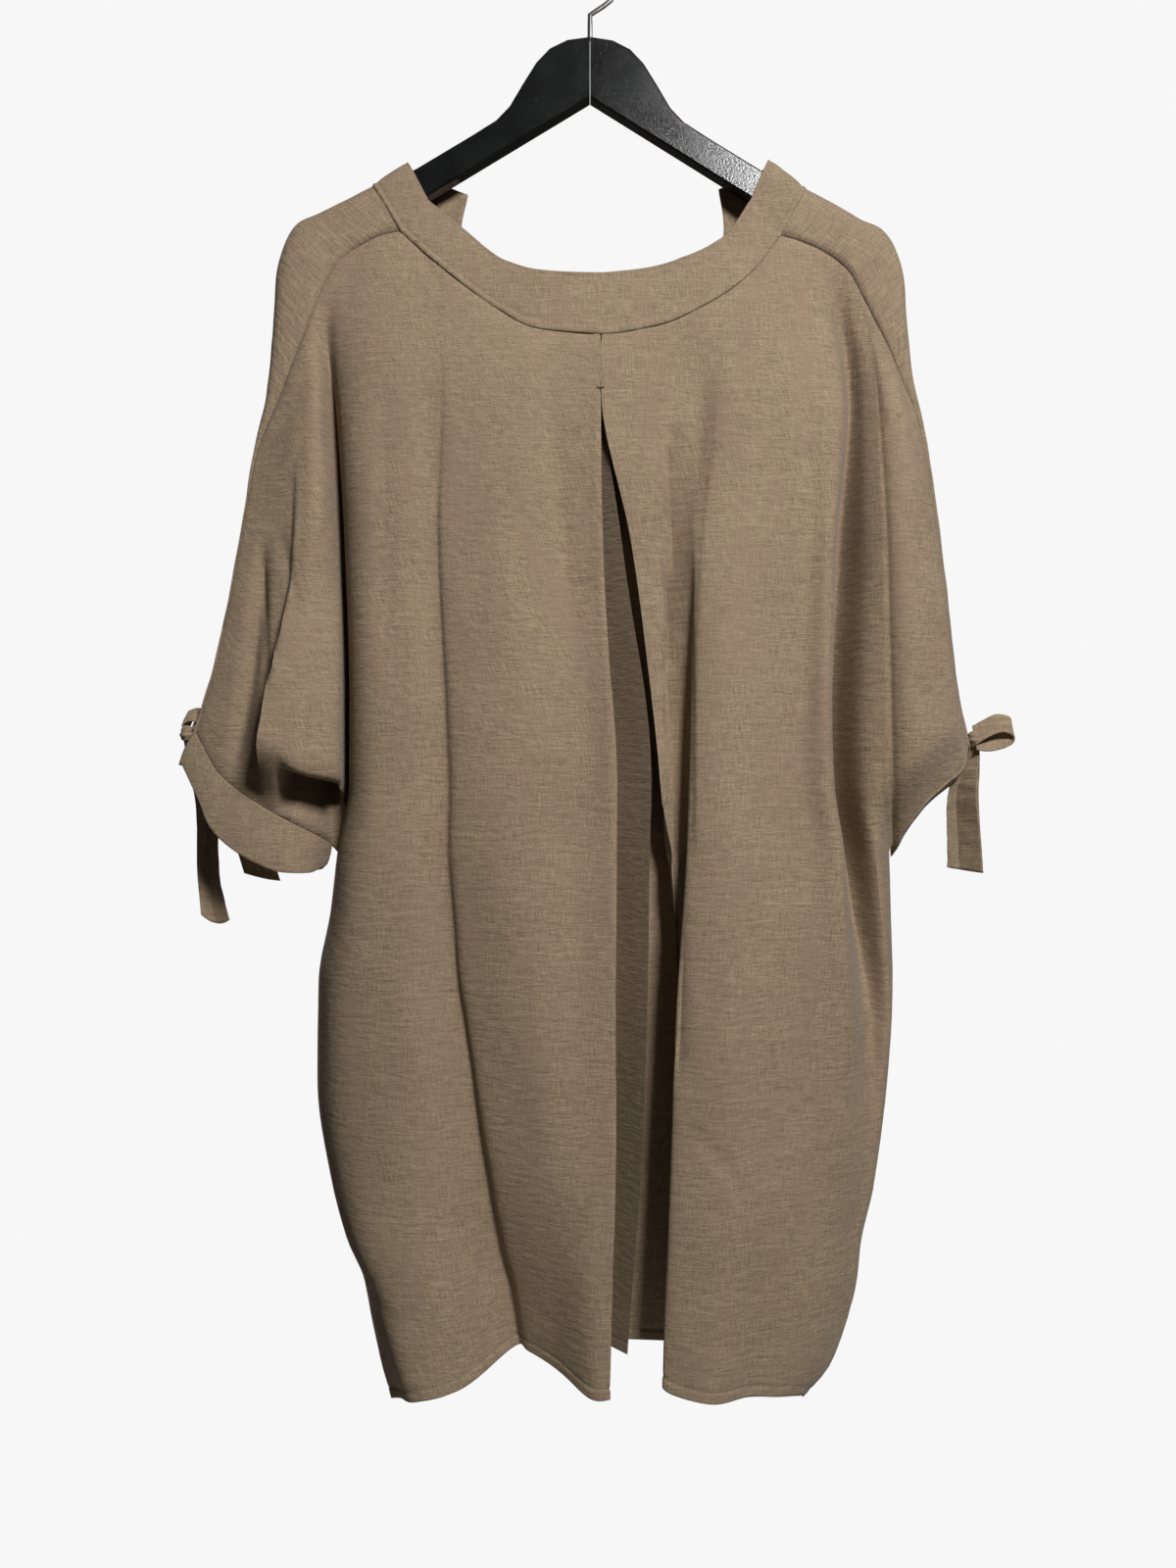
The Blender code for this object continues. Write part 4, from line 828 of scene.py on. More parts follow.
def pleated_lines():
    """The lines down the pleated panel, from left to right."""
    left, right = side_line("left", -1), side_line("right", -1)
    pleat = {name: pleat_line(name, row) for name, row in PLEAT.items()}
    fold, tongue = pleat["left_fold"], pleat["tongue"]
    before = [soft_line(row, NECK_PLEATED, -1, left, fold) for row in PLEATED_LEFT.values()]
    after = [soft_line(row, NECK_PLEATED, -1, tongue, right) for row in PLEATED_RIGHT.values()]
    return [left, *before, *pleat.values(), *after, right]


def plain_lines():
    left, right = side_line("left", 1), side_line("right", 1)
    soft = [soft_line(row, NECK_PLAIN, 1, left, right) for row in PLAIN_BODY.values()]
    return [left, *soft, right]


def column_steps(line, after):
    return HIDDEN_SPLITS if "hidden" in (line.kind, after.kind) else LINE_SPLITS


def body_row(lines, heights):
    """One row across a body: a smooth curve through the lines, broken at sharp folds."""
    points = [line.point(height) for line, height in zip(lines, heights)]
    row = []
    for i in range(len(points) - 1):
        begins = i == 0 or lines[i].kind == "sharp"
        ends = i + 2 == len(points) or lines[i + 1].kind == "sharp"
        before = points[i] if begins else points[i - 1]
        after = points[i + 1] if ends else points[i + 2]
        steps = column_steps(lines[i], lines[i + 1])
        for step in range(steps):
            if "hidden" in (lines[i].kind, lines[i + 1].kind):
                row.append(mix(points[i], points[i + 1], step / steps))
            else:
                row.append(through(before, points[i], points[i + 1], after, step / steps))
    row.append(points[-1])
    return row


def hidden_columns(lines):
    """The columns of a row that are the pleat's inner layers."""
    hidden = set()
    column = 0
    for line, after in zip(lines, lines[1:]):
        steps = column_steps(line, after)
        if line.kind == "hidden":
            hidden.update(range(column, column + steps))
        elif after.kind == "hidden":
            hidden.update(range(column + 1, column + steps))
        column += steps
    return hidden


def seam_moves(row, neck, facing, hidden):
    """The moves that put a top row on the seam; the pleat's inner layers stay behind it."""
    moves = []
    for column, point in enumerate(row):
        seam = seam_at(neck, point.x, facing)
        depth = point.y if column in hidden else seam.y
        above = HIDDEN_RISE if column in hidden else 0.0
        moves.append(Vector((seam.x, depth, seam.z + above)) - point)
    return moves


def body_rows(lines, neck, facing):
    """The body's rows, from the seam to the underarm and on to the hem."""
    rows = []
    for share in dense_ends(UPPER_STEPS):
        row = body_row(lines, [mix(line.top.z, UNDERARM, share) for line in lines])
        if not rows:
            moves = seam_moves(row, neck, facing, hidden_columns(lines))
        pull = 1 - ease(0, SEAM_PULL, share)
        rows.append([point + move * pull for point, move in zip(row, moves)])
    for share in dense_ends(LOWER_STEPS, HEM_SHARES)[1:]:
        rows.append(body_row(lines, [mix(UNDERARM, line.hem, share) for line in lines]))
    return rows


# How far the cloth under the left sleeve swells out, and lifts, in the pipe fold that ends in
# a round lip over the cuff. along runs from the strip seam down to the cuff seam.
PIPE = Table(
    "along forward lift",
    (0.24, 0, 0),
    (0.48, 10, 0),
    (0.60, 20, 0),
    (0.71, 30, -3),
    (0.79, 36, -8),
    (0.86, 40, -13),
    (0.90, 32, -4),
    (0.945, -14, 22),
    (1.00, 0, 0),
)
PIPE_END = 0.86  # along, where the fold stands out furthest
PIPE_FORWARD = 40.0
LEFT_TURN = 0.96  # how far across the sleeves their cuffs' seams turn at the underarm
RIGHT_TURN = 0.95
SLEEVE_STEPS = 40
STRIP_CORNER = 0.63  # along the strip, where a panel's top edge turns down its outer edge
CREASE_DEPTH = 9.0
LEFT_SWELL = 15.0
RIGHT_SWELL = 11.0
FAR_SWELL = 9.0


def pipe_line(across, along):
    """Where a line of the pipe fold lies; low down it moves out towards the strip."""
    return across - 0.12 * ease(0.35, 0.84, along)


def pipe_shape(across, along):
    """How much of the pipe fold a column takes: none, all across its front, none again."""
    left = pipe_line(0.55, along)
    return ease(left, left + 0.07, across) * (1 - ease(0.93, 1.0, across))


def bank(across, along):
    """The sleeve's rise out of the narrow hollow beside the body."""
    rise = min(across / 0.80, 1.0) ** 1.2 * (1 - ease(0.84, 1.0, across))
    return rise * ease(0.0, 0.22, along) * (1 - ease(0.88, 1.0, along))


def left_swell(across, along):
    """The move off the smooth sleeve, on the pleated side of the left one."""
    shape = pipe_shape(across, along)
    hollow = ease(0.58, 0.73, across)
    fading = 1 - ease(PIPE_END, 1.0, along)
    closed = min(PIPE.at(min(along, PIPE_END), "forward"), PIPE_FORWARD * fading)
    forward = mix(closed, PIPE.at(along, "forward"), hollow) * shape
    wave = 4.5 * ease(0.56, 0.74, across) + 3 * ease(0.74, 0.95, across)
    lift = (PIPE.at(along, "lift") * hollow + wave * ease(0.66, 0.84, along)) * shape
    crease = bump(0.24, 0.07, across) * ease(0.3, 0.6, along) * fading
    lean = 8 * bump(0.92, 0.06, across) - 5 * bump(pipe_line(0.61, along), 0.05, across)
    soft = LEFT_SWELL * bank(across, along) * (1 - ease(0.35, 0.6, along) * shape)
    return Vector((lean * forward / PIPE_FORWARD, CREASE_DEPTH * crease - forward - soft, lift))


def right_swell(across, along):
    rise = math.sin(math.pi * across) * ease(0.0, 0.22, along) * (1 - ease(0.88, 1.0, along))
    return Vector((0, -RIGHT_SWELL * rise, 0))


def far_swell(across, along):
    return Vector((0, FAR_SWELL * math.sin(math.pi * across) * math.sin(math.pi * along), 0))


def sleeve_columns(turn):
    """How far across each column lies, from the strip to just short of the body."""
    return [share * turn for share in dense_ends(SLEEVE_STEPS)] + [mix(turn, 1, 0.5)]


def sleeve_rows(strip, cuff, facing, inner, turn, swell):
    """A sleeve's share of a panel, between the strip, the cuff and the body's first line."""
    join = find_along(strip, "seam_x", inner[0].x)

    def top(across):
        return strip_seam(strip, mix(STRIP_CORNER, join, across), facing)

    def bottom(across):
        if across > turn:
            return mix(bottom(turn), inner[-1], (across - turn) / (1 - turn))
        return cuff_point(cuff, across / turn, "seam_", facing)

    columns = sleeve_columns(turn)
    tops, bottoms = [top(across) for across in columns], [bottom(across) for across in columns]
    rows = []
    for along, inside in zip(dense_ends(UPPER_STEPS), inner):
        outer = strip_seam(strip, mix(STRIP_CORNER, 1.0, along), facing)
        start_mean, end_mean = mix(tops[0], bottoms[0], along), mix(top(1), inner[-1], along)
        # The turn of the cuff's seam would draw a dip up the sleeve; the pipe fold covers it.
        filled = 0.0 if swell is left_swell else along * (1 - ease(0.84, 1.0, along))
        row = []
        for across, high, low in zip(columns, tops, bottoms):
            point = mix(high, low, along) + mix(outer, inside, across)
            dip = max(0.0, (mix(bottoms[0], inner[-1], across).y - low.y) * facing)
            point.y += facing * dip * filled
            row.append(point - mix(start_mean, end_mean, across) + swell(across, along))
        row[0] = outer
        rows.append(row)
    rows[-1] = bottoms
    return rows


def cuff_point(cuff, along, line, facing):
    """A point of a cuff's seam (seam_) or free edge (edge_) on one side."""
    side = "near_y" if facing < 0 else "far_y"
    depth = side if line == "seam_" else line + side
    return Vector([cuff.at(along, name) for name in (line + "x", depth, line + "z")])


def panel_cloth(lines, neck, facing):
    """A whole panel: left sleeve, body and right sleeve, with gaps beside the lower body."""
    body = body_rows(lines, neck, facing)
    swells = (left_swell, right_swell) if facing < 0 else (far_swell, far_swell)
    left_inner = [row[0] for row in body[:UPPER_COUNT]]
    right_inner = [row[-1] for row in body[:UPPER_COUNT]]
    left = sleeve_rows(STRIP_LEFT, CUFF_LEFT, facing, left_inner, LEFT_TURN, swells[0])
    right = sleeve_rows(STRIP_RIGHT, CUFF_RIGHT, facing, right_inner, RIGHT_TURN, swells[1])
    rows = []
    for place, row in enumerate(body):
        if place < UPPER_COUNT:
            rows.append([*left[place], *row, *right[place][::-1]])
        else:
            rows.append([*[None] * len(left[0]), *row, *[None] * len(right[0])])
    return Cloth(rows, (0, facing, 0))


HEM_TURN = 7.3  # from the hem's edge up to its row of stitches
HEM_SWELL = 0.35  # how far the cloth laid double stands out
STITCH_DIP = 0.5  # how deep a row of stitches pulls the cloth in, and how far beside it
STITCH_DIP_REACH = 1.3
SEAM_DIP = 1.3
SEAM_DIP_REACH = 2.4


def groove(away, reach):
    """1 along a line, and less and less away from it."""
    return np.exp(-((away / reach) ** 2))


def seam_sink(cloth):
    """How deep the cloth dips beside its seams at the top, the sleeves' edges and the cuffs."""
    points = cloth.points
    away = np.full(points.shape[:2], 1e3)
    for edge in (points[:1], points[:, :1], points[:, -1:]):
        away = np.fmin(away, np.linalg.norm(points - edge, axis=2))
    cuff_row = points[UPPER_COUNT - 1: UPPER_COUNT]
    sleeve = np.isnan(points[UPPER_COUNT: UPPER_COUNT + 1, :, 0])
    to_cuff = np.linalg.norm(points[:UPPER_COUNT] - cuff_row, axis=2)
    beside = np.where(sleeve, np.fmin(away[:UPPER_COUNT], to_cuff), away[:UPPER_COUNT])
    away[:UPPER_COUNT] = beside
    return SEAM_DIP * groove(away, SEAM_DIP_REACH)


def hem_depths(cloth):
    """The turned hem: cloth laid double below a row of stitches that sink in."""
    above = np.linalg.norm(cloth.points - cloth.points[-1:], axis=2)
    dip = STITCH_DIP * groove(above - HEM_TURN, STITCH_DIP_REACH)
    return np.nan_to_num(dip - HEM_SWELL * (above < HEM_TURN - 1))


def beside_line(points, x0, z0, x1, z1):
    """Seen from the front, how far along a line each point is, and how far beside it."""
    x, z = points[..., 0], points[..., 2]
    length = math.hypot(x1 - x0, z1 - z0)
    ahead = ((x - x0) * (x1 - x0) + (z - z0) * (z1 - z0)) / length**2
    aside = ((z - z0) * (x1 - x0) - (x - x0) * (z1 - z0)) / length
    return np.clip(ahead, 0, 1), aside


def crease_depths(points, rows):
    """How deep each point lies in creases seen from the front; a ridge has a depth below 0."""
    total = np.zeros(points.shape[:2])
    for x0, z0, x1, z1, bow, left, right, depth in rows:
        ahead, aside = beside_line(points, x0, z0, x1, z1)
        aside = aside + bow * 4 * ahead * (1 - ahead)
        taper = np.sin(math.pi * ahead) ** 0.6
        total += depth * taper * groove(aside, np.where(aside > 0, right, left))
    return np.nan_to_num(total)


RIPPLE_DEPTH = 60.0  # the size along Y of the unevenness, in which layers differ
WAVES = 0.9  # how deep the cloth's soft waves are, and its fine crumples
CRUMPLES = 0.35


def ripple(points, sizes, seed):
    """A soft unevenness between -1 and 1, with sizes for X and Z in millimetres."""
    wide, high = sizes
    flat = np.nan_to_num(points.reshape(-1, 3))
    places = [Vector((x / wide, y / RIPPLE_DEPTH, z / high + seed)) for x, y, z in flat]
    values = [noise.noise(place) for place in places]
    return np.array(values).reshape(points.shape[:2])


# Creases on the pleated side: where each starts and ends, how far it bows, how wide and how
# deep it is. Those beside the shoulders are pulled, the rest come from hanging and folding.
CREASES_PLEATED = (
    # x0, z0, x1, z1, bow, left and right width, depth
    (-29, -318, -12, -515, 2, 6, 6, 2.8),
    (86, -300, 70, -440, 0, 9, 9, 3.4),
    (51, -640, 58, -830, 0, 9, 9, 8),
    (150, -733, 160, -945, 2, 9, 9, 2.6),
    (-150, -330, -140, -560, 3, 6, 6, 1.2),
    (150, -300, 160, -470, -3, 7, 7, 1.4),
    (64, -860, 108, -925, -9, 3, 3.5, 1.9),
    (70, -880, 112, -935, -8, 3, 3.5, -1.5),
    (18, -299, 62, -305, 2, 2.2, 2.2, 1.3),
    (22, -308, 54, -311, 1, 2, 2, 1.0),
    (-126, -225, -104, -262, 3, 3, 4, 1.3),
    (-136, -232, -118, -276, 3, 3, 3, 1.0),
    (163, -900, 192, -912, 2, 3, 3, 1.7),
    (158, -947, 188, -938, -2, 3, 3.5, 1.6),
    (166, -992, 194, -1003, 2, 3, 3, 1.6),
    (-190, -905, -168, -880, 3, 3, 3, 1.5),
    (-160, -985, -120, -1002, 3, 3, 4, 1.5),
    (72, -1004, 104, -1012, 1, 2.5, 3, 1.2),
    (112, -1015, 150, -1006, -1, 2.5, 3, 1.2),
    (222, -420, 258, -470, 4, 4, 4, 1.7),
    (228, -470, 262, -520, 4, 4, 4, 1.6),
    (226, -548, 262, -572, -3, 3.5, 3.5, 1.6),
    (-232, -430, -214, -500, -3, 5, 5, 1.8),
    (-236, -570, -205, -592, 3, 3.5, 3.5, 0.9),
)
# The plain side has the like: pulled beside the shoulders, hanging lower down, and slanting
# in from the underarms.
CREASES_PLAIN = (
    # x0, z0, x1, z1, bow, left and right width, depth
    (-112, -252, -66, -420, 6, 8, 8, 2.2),
    (114, -248, 74, -436, -5, 8, 8, 2.0),
    (-22, -318, -36, -540, 3, 8, 10, 2.4),
    (42, -316, 54, -500, -4, 8, 8, 1.9),
    (-96, -640, -112, -950, 5, 11, 14, 3.4),
    (26, -610, 18, -940, -4, 12, 14, 3.2),
    (118, -630, 134, -955, 4, 12, 10, 3.0),
    (-184, -655, -122, -790, -7, 6, 7, 1.8),
    (184, -650, 130, -800, 6, 6, 7, 1.9),
    (-230, -430, -206, -560, 4, 6, 6, 1.6),
    (236, -425, 214, -560, -4, 6, 6, 1.6),
    (-60, -900, -20, -915, 3, 3, 3, 0.9),
    (60, -965, 98, -955, -2, 3, 3, 0.8),
    (-168, -985, -132, -1000, 2, 3, 3, 0.9),
    (132, -1002, 166, -992, -2, 3, 3, 0.8),
)

# Where one lap of cloth lies over the next: its edge runs from the first point to the second,
# and the cloth beside it starts this deep and comes forward again over the run.
LAP_EDGE = 4.0
LAPS_PLEATED = (
    # x0, z0, x1, z1, run, depth
    (53, -360, 53, -680, 22, 20),
    (-246, -452, -240, -566, 9, 6),
)


def lap_depths(points, rows):
    total = np.zeros(points.shape[:2])
    for x0, z0, x1, z1, run, depth in rows:
        ahead, aside = beside_line(points, x0, z0, x1, z1)
        begun = np.clip(aside / LAP_EDGE, 0, 1)
        back = begun * begun * (3 - 2 * begun) * np.clip(1 - aside / run, 0, 1)
        total += depth * back * np.sin(math.pi * ahead) ** 0.5
    return np.nan_to_num(total)


pleated = panel_cloth(pleated_lines(), NECK_PLEATED, -1)
facing_out = np.clip(-pleated.facings()[..., 1], 0, 1)
depths = crease_depths(pleated.points, CREASES_PLEATED) * facing_out
depths += lap_depths(pleated.points, LAPS_PLEATED) * facing_out
depths += WAVES * ripple(pleated.points, (24, 70), 3.0) * facing_out
depths += CRUMPLES * ripple(pleated.points, (9, 7), 9.0) * facing_out
depths += seam_sink(pleated) + hem_depths(pleated)
pleated.press(depths)
panel_pleated = pleated.object("pleated_panel", linen)
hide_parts("panel_pleated")

plain = panel_cloth(plain_lines(), NECK_PLAIN, 1)
depths = crease_depths(plain.points, CREASES_PLAIN) * np.clip(plain.facings()[..., 1], 0, 1)
depths += WAVES * ripple(plain.points, (26, 75), 5.0)
depths += CRUMPLES * ripple(plain.points, (9, 7), 6.0)
depths += seam_sink(plain) + hem_depths(plain)
plain.press(depths)
panel_plain = plain.object("plain_panel", linen)
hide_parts("panel_plain")


# ---------------------------------------------------------------- the stitches
# Linen thread in a lock stitch, each stitch a short raised bar that sinks in at its ends. The
# two hems come first, and the bar that holds the pleat's end; the rest follow their pieces.

THREAD_WIDTH = 0.5
STITCH_PITCH = 2.9
STITCH_LENGTH = 2.15
UNEVENNESS = 0.16  # how much longer or shorter a stitch may be, as a share
STITCH_SIDES = 6
STITCH_RINGS = 4
DARK_THREAD = (0.20, 0.148, 0.094, 1)
LIGHT_THREAD = (0.43, 0.335, 0.225, 1)

thread_finish = Finish("linen_thread")
on_thread = thread_finish.node("ShaderNodeTexCoord", {}, {}, "Object")
ply = thread_finish.noise(on_thread, 900.0, 3.0)
shade = thread_finish.noise(on_thread, 60.0)
thread_finish.set(
    Base_Color=thread_finish.blend(DARK_THREAD, LIGHT_THREAD, 0.55 * ply + 0.45 * shade),
    Roughness=0.62 + 0.2 * ply,
    Normal=thread_finish.relief(ply, 0.0002),
)


def stitch_tree():
    """Lays a stitch at each step along the edges of a mesh, lying along them."""
    tree = bpy.data.node_groups.new("stitches", "GeometryNodeTree")
    for name, kind in (
        ("Geometry", "Geometry"),
        ("Pitch", "Float"),
        ("Length", "Float"),
        ("Width", "Float"),
        ("Unevenness", "Float"),
        ("Seed", "Int"),
        ("Thread", "Material"),
    ):
        tree.interface.new_socket(name, in_out="INPUT", socket_type="NodeSocket" + kind)
    tree.interface.new_socket("Geometry", in_out="OUTPUT", socket_type="NodeSocketGeometry")

    def node(kind, inputs, **settings):
        """Adds a node. An input is a number, or another node and which of its outputs."""
        made = tree.nodes.new(kind)
        for name, value in settings.items():
            setattr(made, name, value)
        for name, value in inputs.items():
            if isinstance(value, tuple):
                tree.links.new(value[0].outputs[value[1]], made.inputs[name])
            else:
                made.inputs[name].default_value = value
        return made

    def joined(kind, before, output, **inputs):
        """Adds a node that passes the geometry on."""
        return node(kind, {"Geometry": (before, output), **inputs})

    given = node("NodeGroupInput", {})
    unevenness, width = (given, "Unevenness"), (given, "Width")
    curve = node("GeometryNodeMeshToCurve", {"Mesh": (given, "Geometry")})
    steps = node(
        "GeometryNodeCurveToPoints",
        {"Curve": (curve, "Curve"), "Length": (given, "Pitch")},
        mode="LENGTH",
    )
    bar = node(
        "GeometryNodeMeshUVSphere",
        {"Segments": STITCH_SIDES, "Rings": STITCH_RINGS, "Radius": 0.5},
    )
    least = node("ShaderNodeMath", {0: 1.0, 1: unevenness}, operation="SUBTRACT")
    most = node("ShaderNodeMath", {0: 1.0, 1: unevenness}, operation="ADD")
    varied = node(
        "FunctionNodeRandomValue",
        {2: (least, 0), 3: (most, 0), "Seed": (given, "Seed")},
        data_type="FLOAT",
    )
    length = node("ShaderNodeMath", {0: (varied, 1), 1: (given, "Length")}, operation="MULTIPLY")
    size = node("ShaderNodeCombineXYZ", {"X": width, "Y": width, "Z": (length, 0)})
    lay = node(
        "GeometryNodeInstanceOnPoints",
        {
            "Points": (steps, "Points"),
            "Rotation": (steps, "Rotation"),
            "Instance": (bar, "Mesh"),
            "Scale": (size, 0),
        },
    )
    real = joined("GeometryNodeRealizeInstances", lay, "Instances")
    smooth = joined("GeometryNodeSetShadeSmooth", real, "Geometry")
    dressed = joined("GeometryNodeSetMaterial", smooth, "Geometry", Material=(given, "Thread"))
    joined("NodeGroupOutput", dressed, "Geometry")
    return tree


stitches = stitch_tree()


def sew(name, runs, seed, pitch=STITCH_PITCH, length=STITCH_LENGTH):
    """Rows of stitches along runs of points, made one plain mesh."""
    points, edges = [], []
    for run in runs:
        start = len(points)
        points += [tuple(np.asarray(point) * MM) for point in run]
        edges += [(k, k + 1) for k in range(start, len(points) - 1)]
    guide_mesh = bpy.data.meshes.new(name + "_guide")
    guide_mesh.from_pydata(points, edges, [])
    guide = add_object(name + "_guide", guide_mesh)
    layer = guide.modifiers.new("stitches", "NODES")
    layer.node_group = stitches
    values = {
        "Pitch": pitch * MM,
        "Length": length * MM,
        "Width": THREAD_WIDTH * MM,
        "Unevenness": UNEVENNESS,
        "Seed": seed,
        "Thread": thread_finish.material,
    }
    for item in stitches.interface.items_tree:
        if item.in_out == "INPUT" and item.name in values:
            layer[item.identifier] = values[item.name]
    depsgraph = bpy.context.evaluated_depsgraph_get()
    mesh = bpy.data.meshes.new_from_object(guide.evaluated_get(depsgraph))
    mesh.name = name
    bpy.data.objects.remove(guide)
    made = add_object(name, mesh)
    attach(made, "root")


sew("hem_stitches", [pleated.beside("bottom", HEM_TURN), plain.beside("bottom", HEM_TURN)], 1)
BAR_TACK = Vector((7.9, -39.0, -334.5))
BAR_TACK_HALF = 2.2
BAR_TACK_ROWS = (0.0, 0.6, 1.2)
tack = [
    [BAR_TACK + Vector((side, 0, rise)) for side in (-BAR_TACK_HALF, BAR_TACK_HALF)]
    for rise in BAR_TACK_ROWS
]
sew("pleat_bar_tack", tack, 2, pitch=0.9, length=1.6)


# ---------------------------------------------------------------- strips over the shoulders
# A long strip on each side joins the two panels from the neck, over the shoulder and down
# the top of the sleeve to the cuff. It lies over the hanger's arm and takes its width.

STRIP_STEPS = 110


def strip_cloth(table, side):
    """A strip's rows cross it, from the neck down; its flat length runs along its near edge."""
    rows = []
    for along in dense_ends(STRIP_STEPS):
        near, far = strip_seam(table, along, -1), strip_seam(table, along, 1)
        ridge = Vector((table.at(along, "ridge_x"), 0, table.at(along, "ridge_z")))
        rows.append(over_ridge(near, ridge, far))
    cloth = Cloth(rows, (side, 0, 1))
    length = np.cumsum(np.linalg.norm(np.diff(cloth.points[:, 0], axis=0), axis=1))
    cloth.places[..., 1] = np.concatenate([[0.0], length])[:, None]
    return cloth


for name, table, side, node_name, arm_name in (
    ("shoulder_strip_left", STRIP_LEFT, -1, "sleeve_top_left", "hanger_arm_left"),
    ("shoulder_strip_right", STRIP_RIGHT, 1, "sleeve_top_right", "hanger_arm_right"),
):
    cloth = strip_cloth(table, side)
    edge = np.minimum(
        np.linalg.norm(cloth.points - cloth.points[:, :1], axis=2),
        np.linalg.norm(cloth.points - cloth.points[:, -1:], axis=2),
    )
    cloth.press(0.9 * groove(edge, 2.2) + 0.5 * ripple(cloth.points, (14, 18), 7.0 + side))
    strip = cloth.object(name, linen)
    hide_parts(node_name)
    sew(name + "_stitches", [cloth.beside("left", 1.7), cloth.beside("right", 1.7)], 3 + side)


# ---------------------------------------------------------------- the neckband
# A wide flat band round the neck, one half on each side, joined on top of the shoulders. It
# is folded at its free edge, topstitched on both edges, and sewn over the panels' tops.

NECK_RIDGES = {-1: Vector((-136, 0, -157)), 1: Vector((133, 0, -155))}
STRIPS = {-1: STRIP_LEFT, 1: STRIP_RIGHT}
SHOULDER_SEAM_GAP = 1.0  # how far each half stops short of the seam on top of the shoulder
BAND_WIDTH = 34.0
TOPSTITCH = 2.2  # from the free edge
TURNED_STITCH = 4.6  # from the turned edge
BAND_STEPS = 120
BAND_ROWS = (  # shares of the width, from the free edge to the turned edge past the seam
    0, 0.02, 0.04, 0.06, 0.08, 0.11, 0.16, 0.27, 0.38, 0.5, 0.62, 0.73,
    0.80, 0.84, 0.865, 0.89, 0.915, 0.94, 0.965, 0.985, 1.0, 1.02, 1.04,
)


def band_cloth(neck, facing):
    """Half of the band, from the top of the left shoulder round to the right one."""
    shares = [step / BAND_STEPS for step in range(BAND_STEPS + 1)]
    free = [neck_edge(neck, along, "inner") for along in shares]
    seam = [neck_edge(neck, along, "outer") for along in shares]
    for side in (-1, 1):
        end = 0 if side < 0 else -1
        table = STRIPS[side]
        ridge = Vector((table.at(0, "ridge_x"), 0, table.at(0, "ridge_z")))
        free_end = over_ridge(free[end], NECK_RIDGES[side])[1:]
        seam_end = over_ridge(seam[end], ridge)[1:]
        if side < 0:
            free, seam = free_end[::-1] + free, seam_end[::-1] + seam
        else:
            free, seam = free + free_end, seam + seam_end
    rows = []
    for share in BAND_ROWS:
        row = [mix(a, b, share) for a, b in zip(free, seam)]
        for end, inside in ((0, 1), (-1, -2)):
            row[end] = row[end] + (row[inside] - row[end]).normalized() * SHOULDER_SEAM_GAP
        rows.append(row)
    return Cloth(rows, (0, facing, 0.5))


for name, neck, facing, node_name, chord_and_height, cut_area in (
    ("neckband_near", NECK_PLEATED, -1, "neckband_pleated", (0.322, 0.137), 0.0155),
    ("neckband_far", NECK_PLAIN, 1, "neckband_plain", (0.322, 0.183), 0.0218),
):
    cloth = band_cloth(neck, facing)
    shares = np.array(BAND_ROWS)[:, None]
    from_free, from_turn = shares * BAND_WIDTH, (BAND_ROWS[-1] - shares) * BAND_WIDTH
    crown = -0.9 * np.sin(math.pi * np.minimum(shares / BAND_ROWS[-1], 1.0)) ** 0.7
    rim = -0.9 * groove(from_turn - 1.9, 1.7) + 0.3 * groove(from_turn - TURNED_STITCH, 1.1)
    topstitch = 0.35 * groove(from_free - TOPSTITCH, 0.9)
    outer_ends = np.clip((np.abs(cloth.points[..., 0]) - 85) / 25, 0, 1)
    slack = (0.5 + 1.6 * outer_ends * (facing > 0)) * ripple(cloth.points, (14, 11), 4.0 + facing)
    cloth.press(crown + rim + topstitch + slack)
    band = cloth.object(name, linen)
    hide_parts(node_name)
    edge_rows = [cloth.beside("top", TOPSTITCH), cloth.beside("bottom", TURNED_STITCH)]
    sew(name + "_stitches", edge_rows, 8 + facing)


# ---------------------------------------------------------------- the cuffs
# A narrow band closes each sleeve end, cut double and sewn all round. The left one hangs
# open under the sleeve's lip, and the right one is turned so that its edge is seen.

CUFF_STEPS = 44
CUFF_ROWS = (0, 0.04, 0.10, 0.2, 0.35, 0.5, 0.65, 0.8, 0.9, 0.96, 1)


def cuff_cloth(cuff, strip):
    """A ring round the sleeve's end: along its near side, back along the far side, and over."""
    shares = [step / CUFF_STEPS for step in range(CUFF_STEPS + 1)]
    near, far = strip_seam(strip, 1.0, -1), strip_seam(strip, 1.0, 1)
    ridge = Vector((strip.at(1.0, "ridge_x"), 0, strip.at(1.0, "ridge_z")))
    over = over_ridge(near, ridge, far)
    seam = [cuff_point(cuff, along, "seam_", -1) for along in shares]
    seam += [cuff_point(cuff, along, "seam_", 1) for along in shares[-2::-1]]
    free = [cuff_point(cuff, along, "edge_", -1) for along in shares]
    free += [cuff_point(cuff, along, "edge_", 1) for along in shares[-2::-1]]
    first_drop, last_drop = free[0] - seam[0], free[-1] - seam[-1]
    for k, point in enumerate(over[-2:0:-1]):
        seam.append(point)
        free.append(point + mix(last_drop, first_drop, (k + 1) / (len(over) - 1)))
    rows = [[mix(a, b, share) for a, b in zip(seam, free)] for share in CUFF_ROWS]
    middle = sum(seam, Vector((0, 0, 0))) / len(seam)
    outward = [[tuple(point - middle) for point in row] for row in rows]
    return Cloth(rows, np.array(outward)[:-1], ring=True)


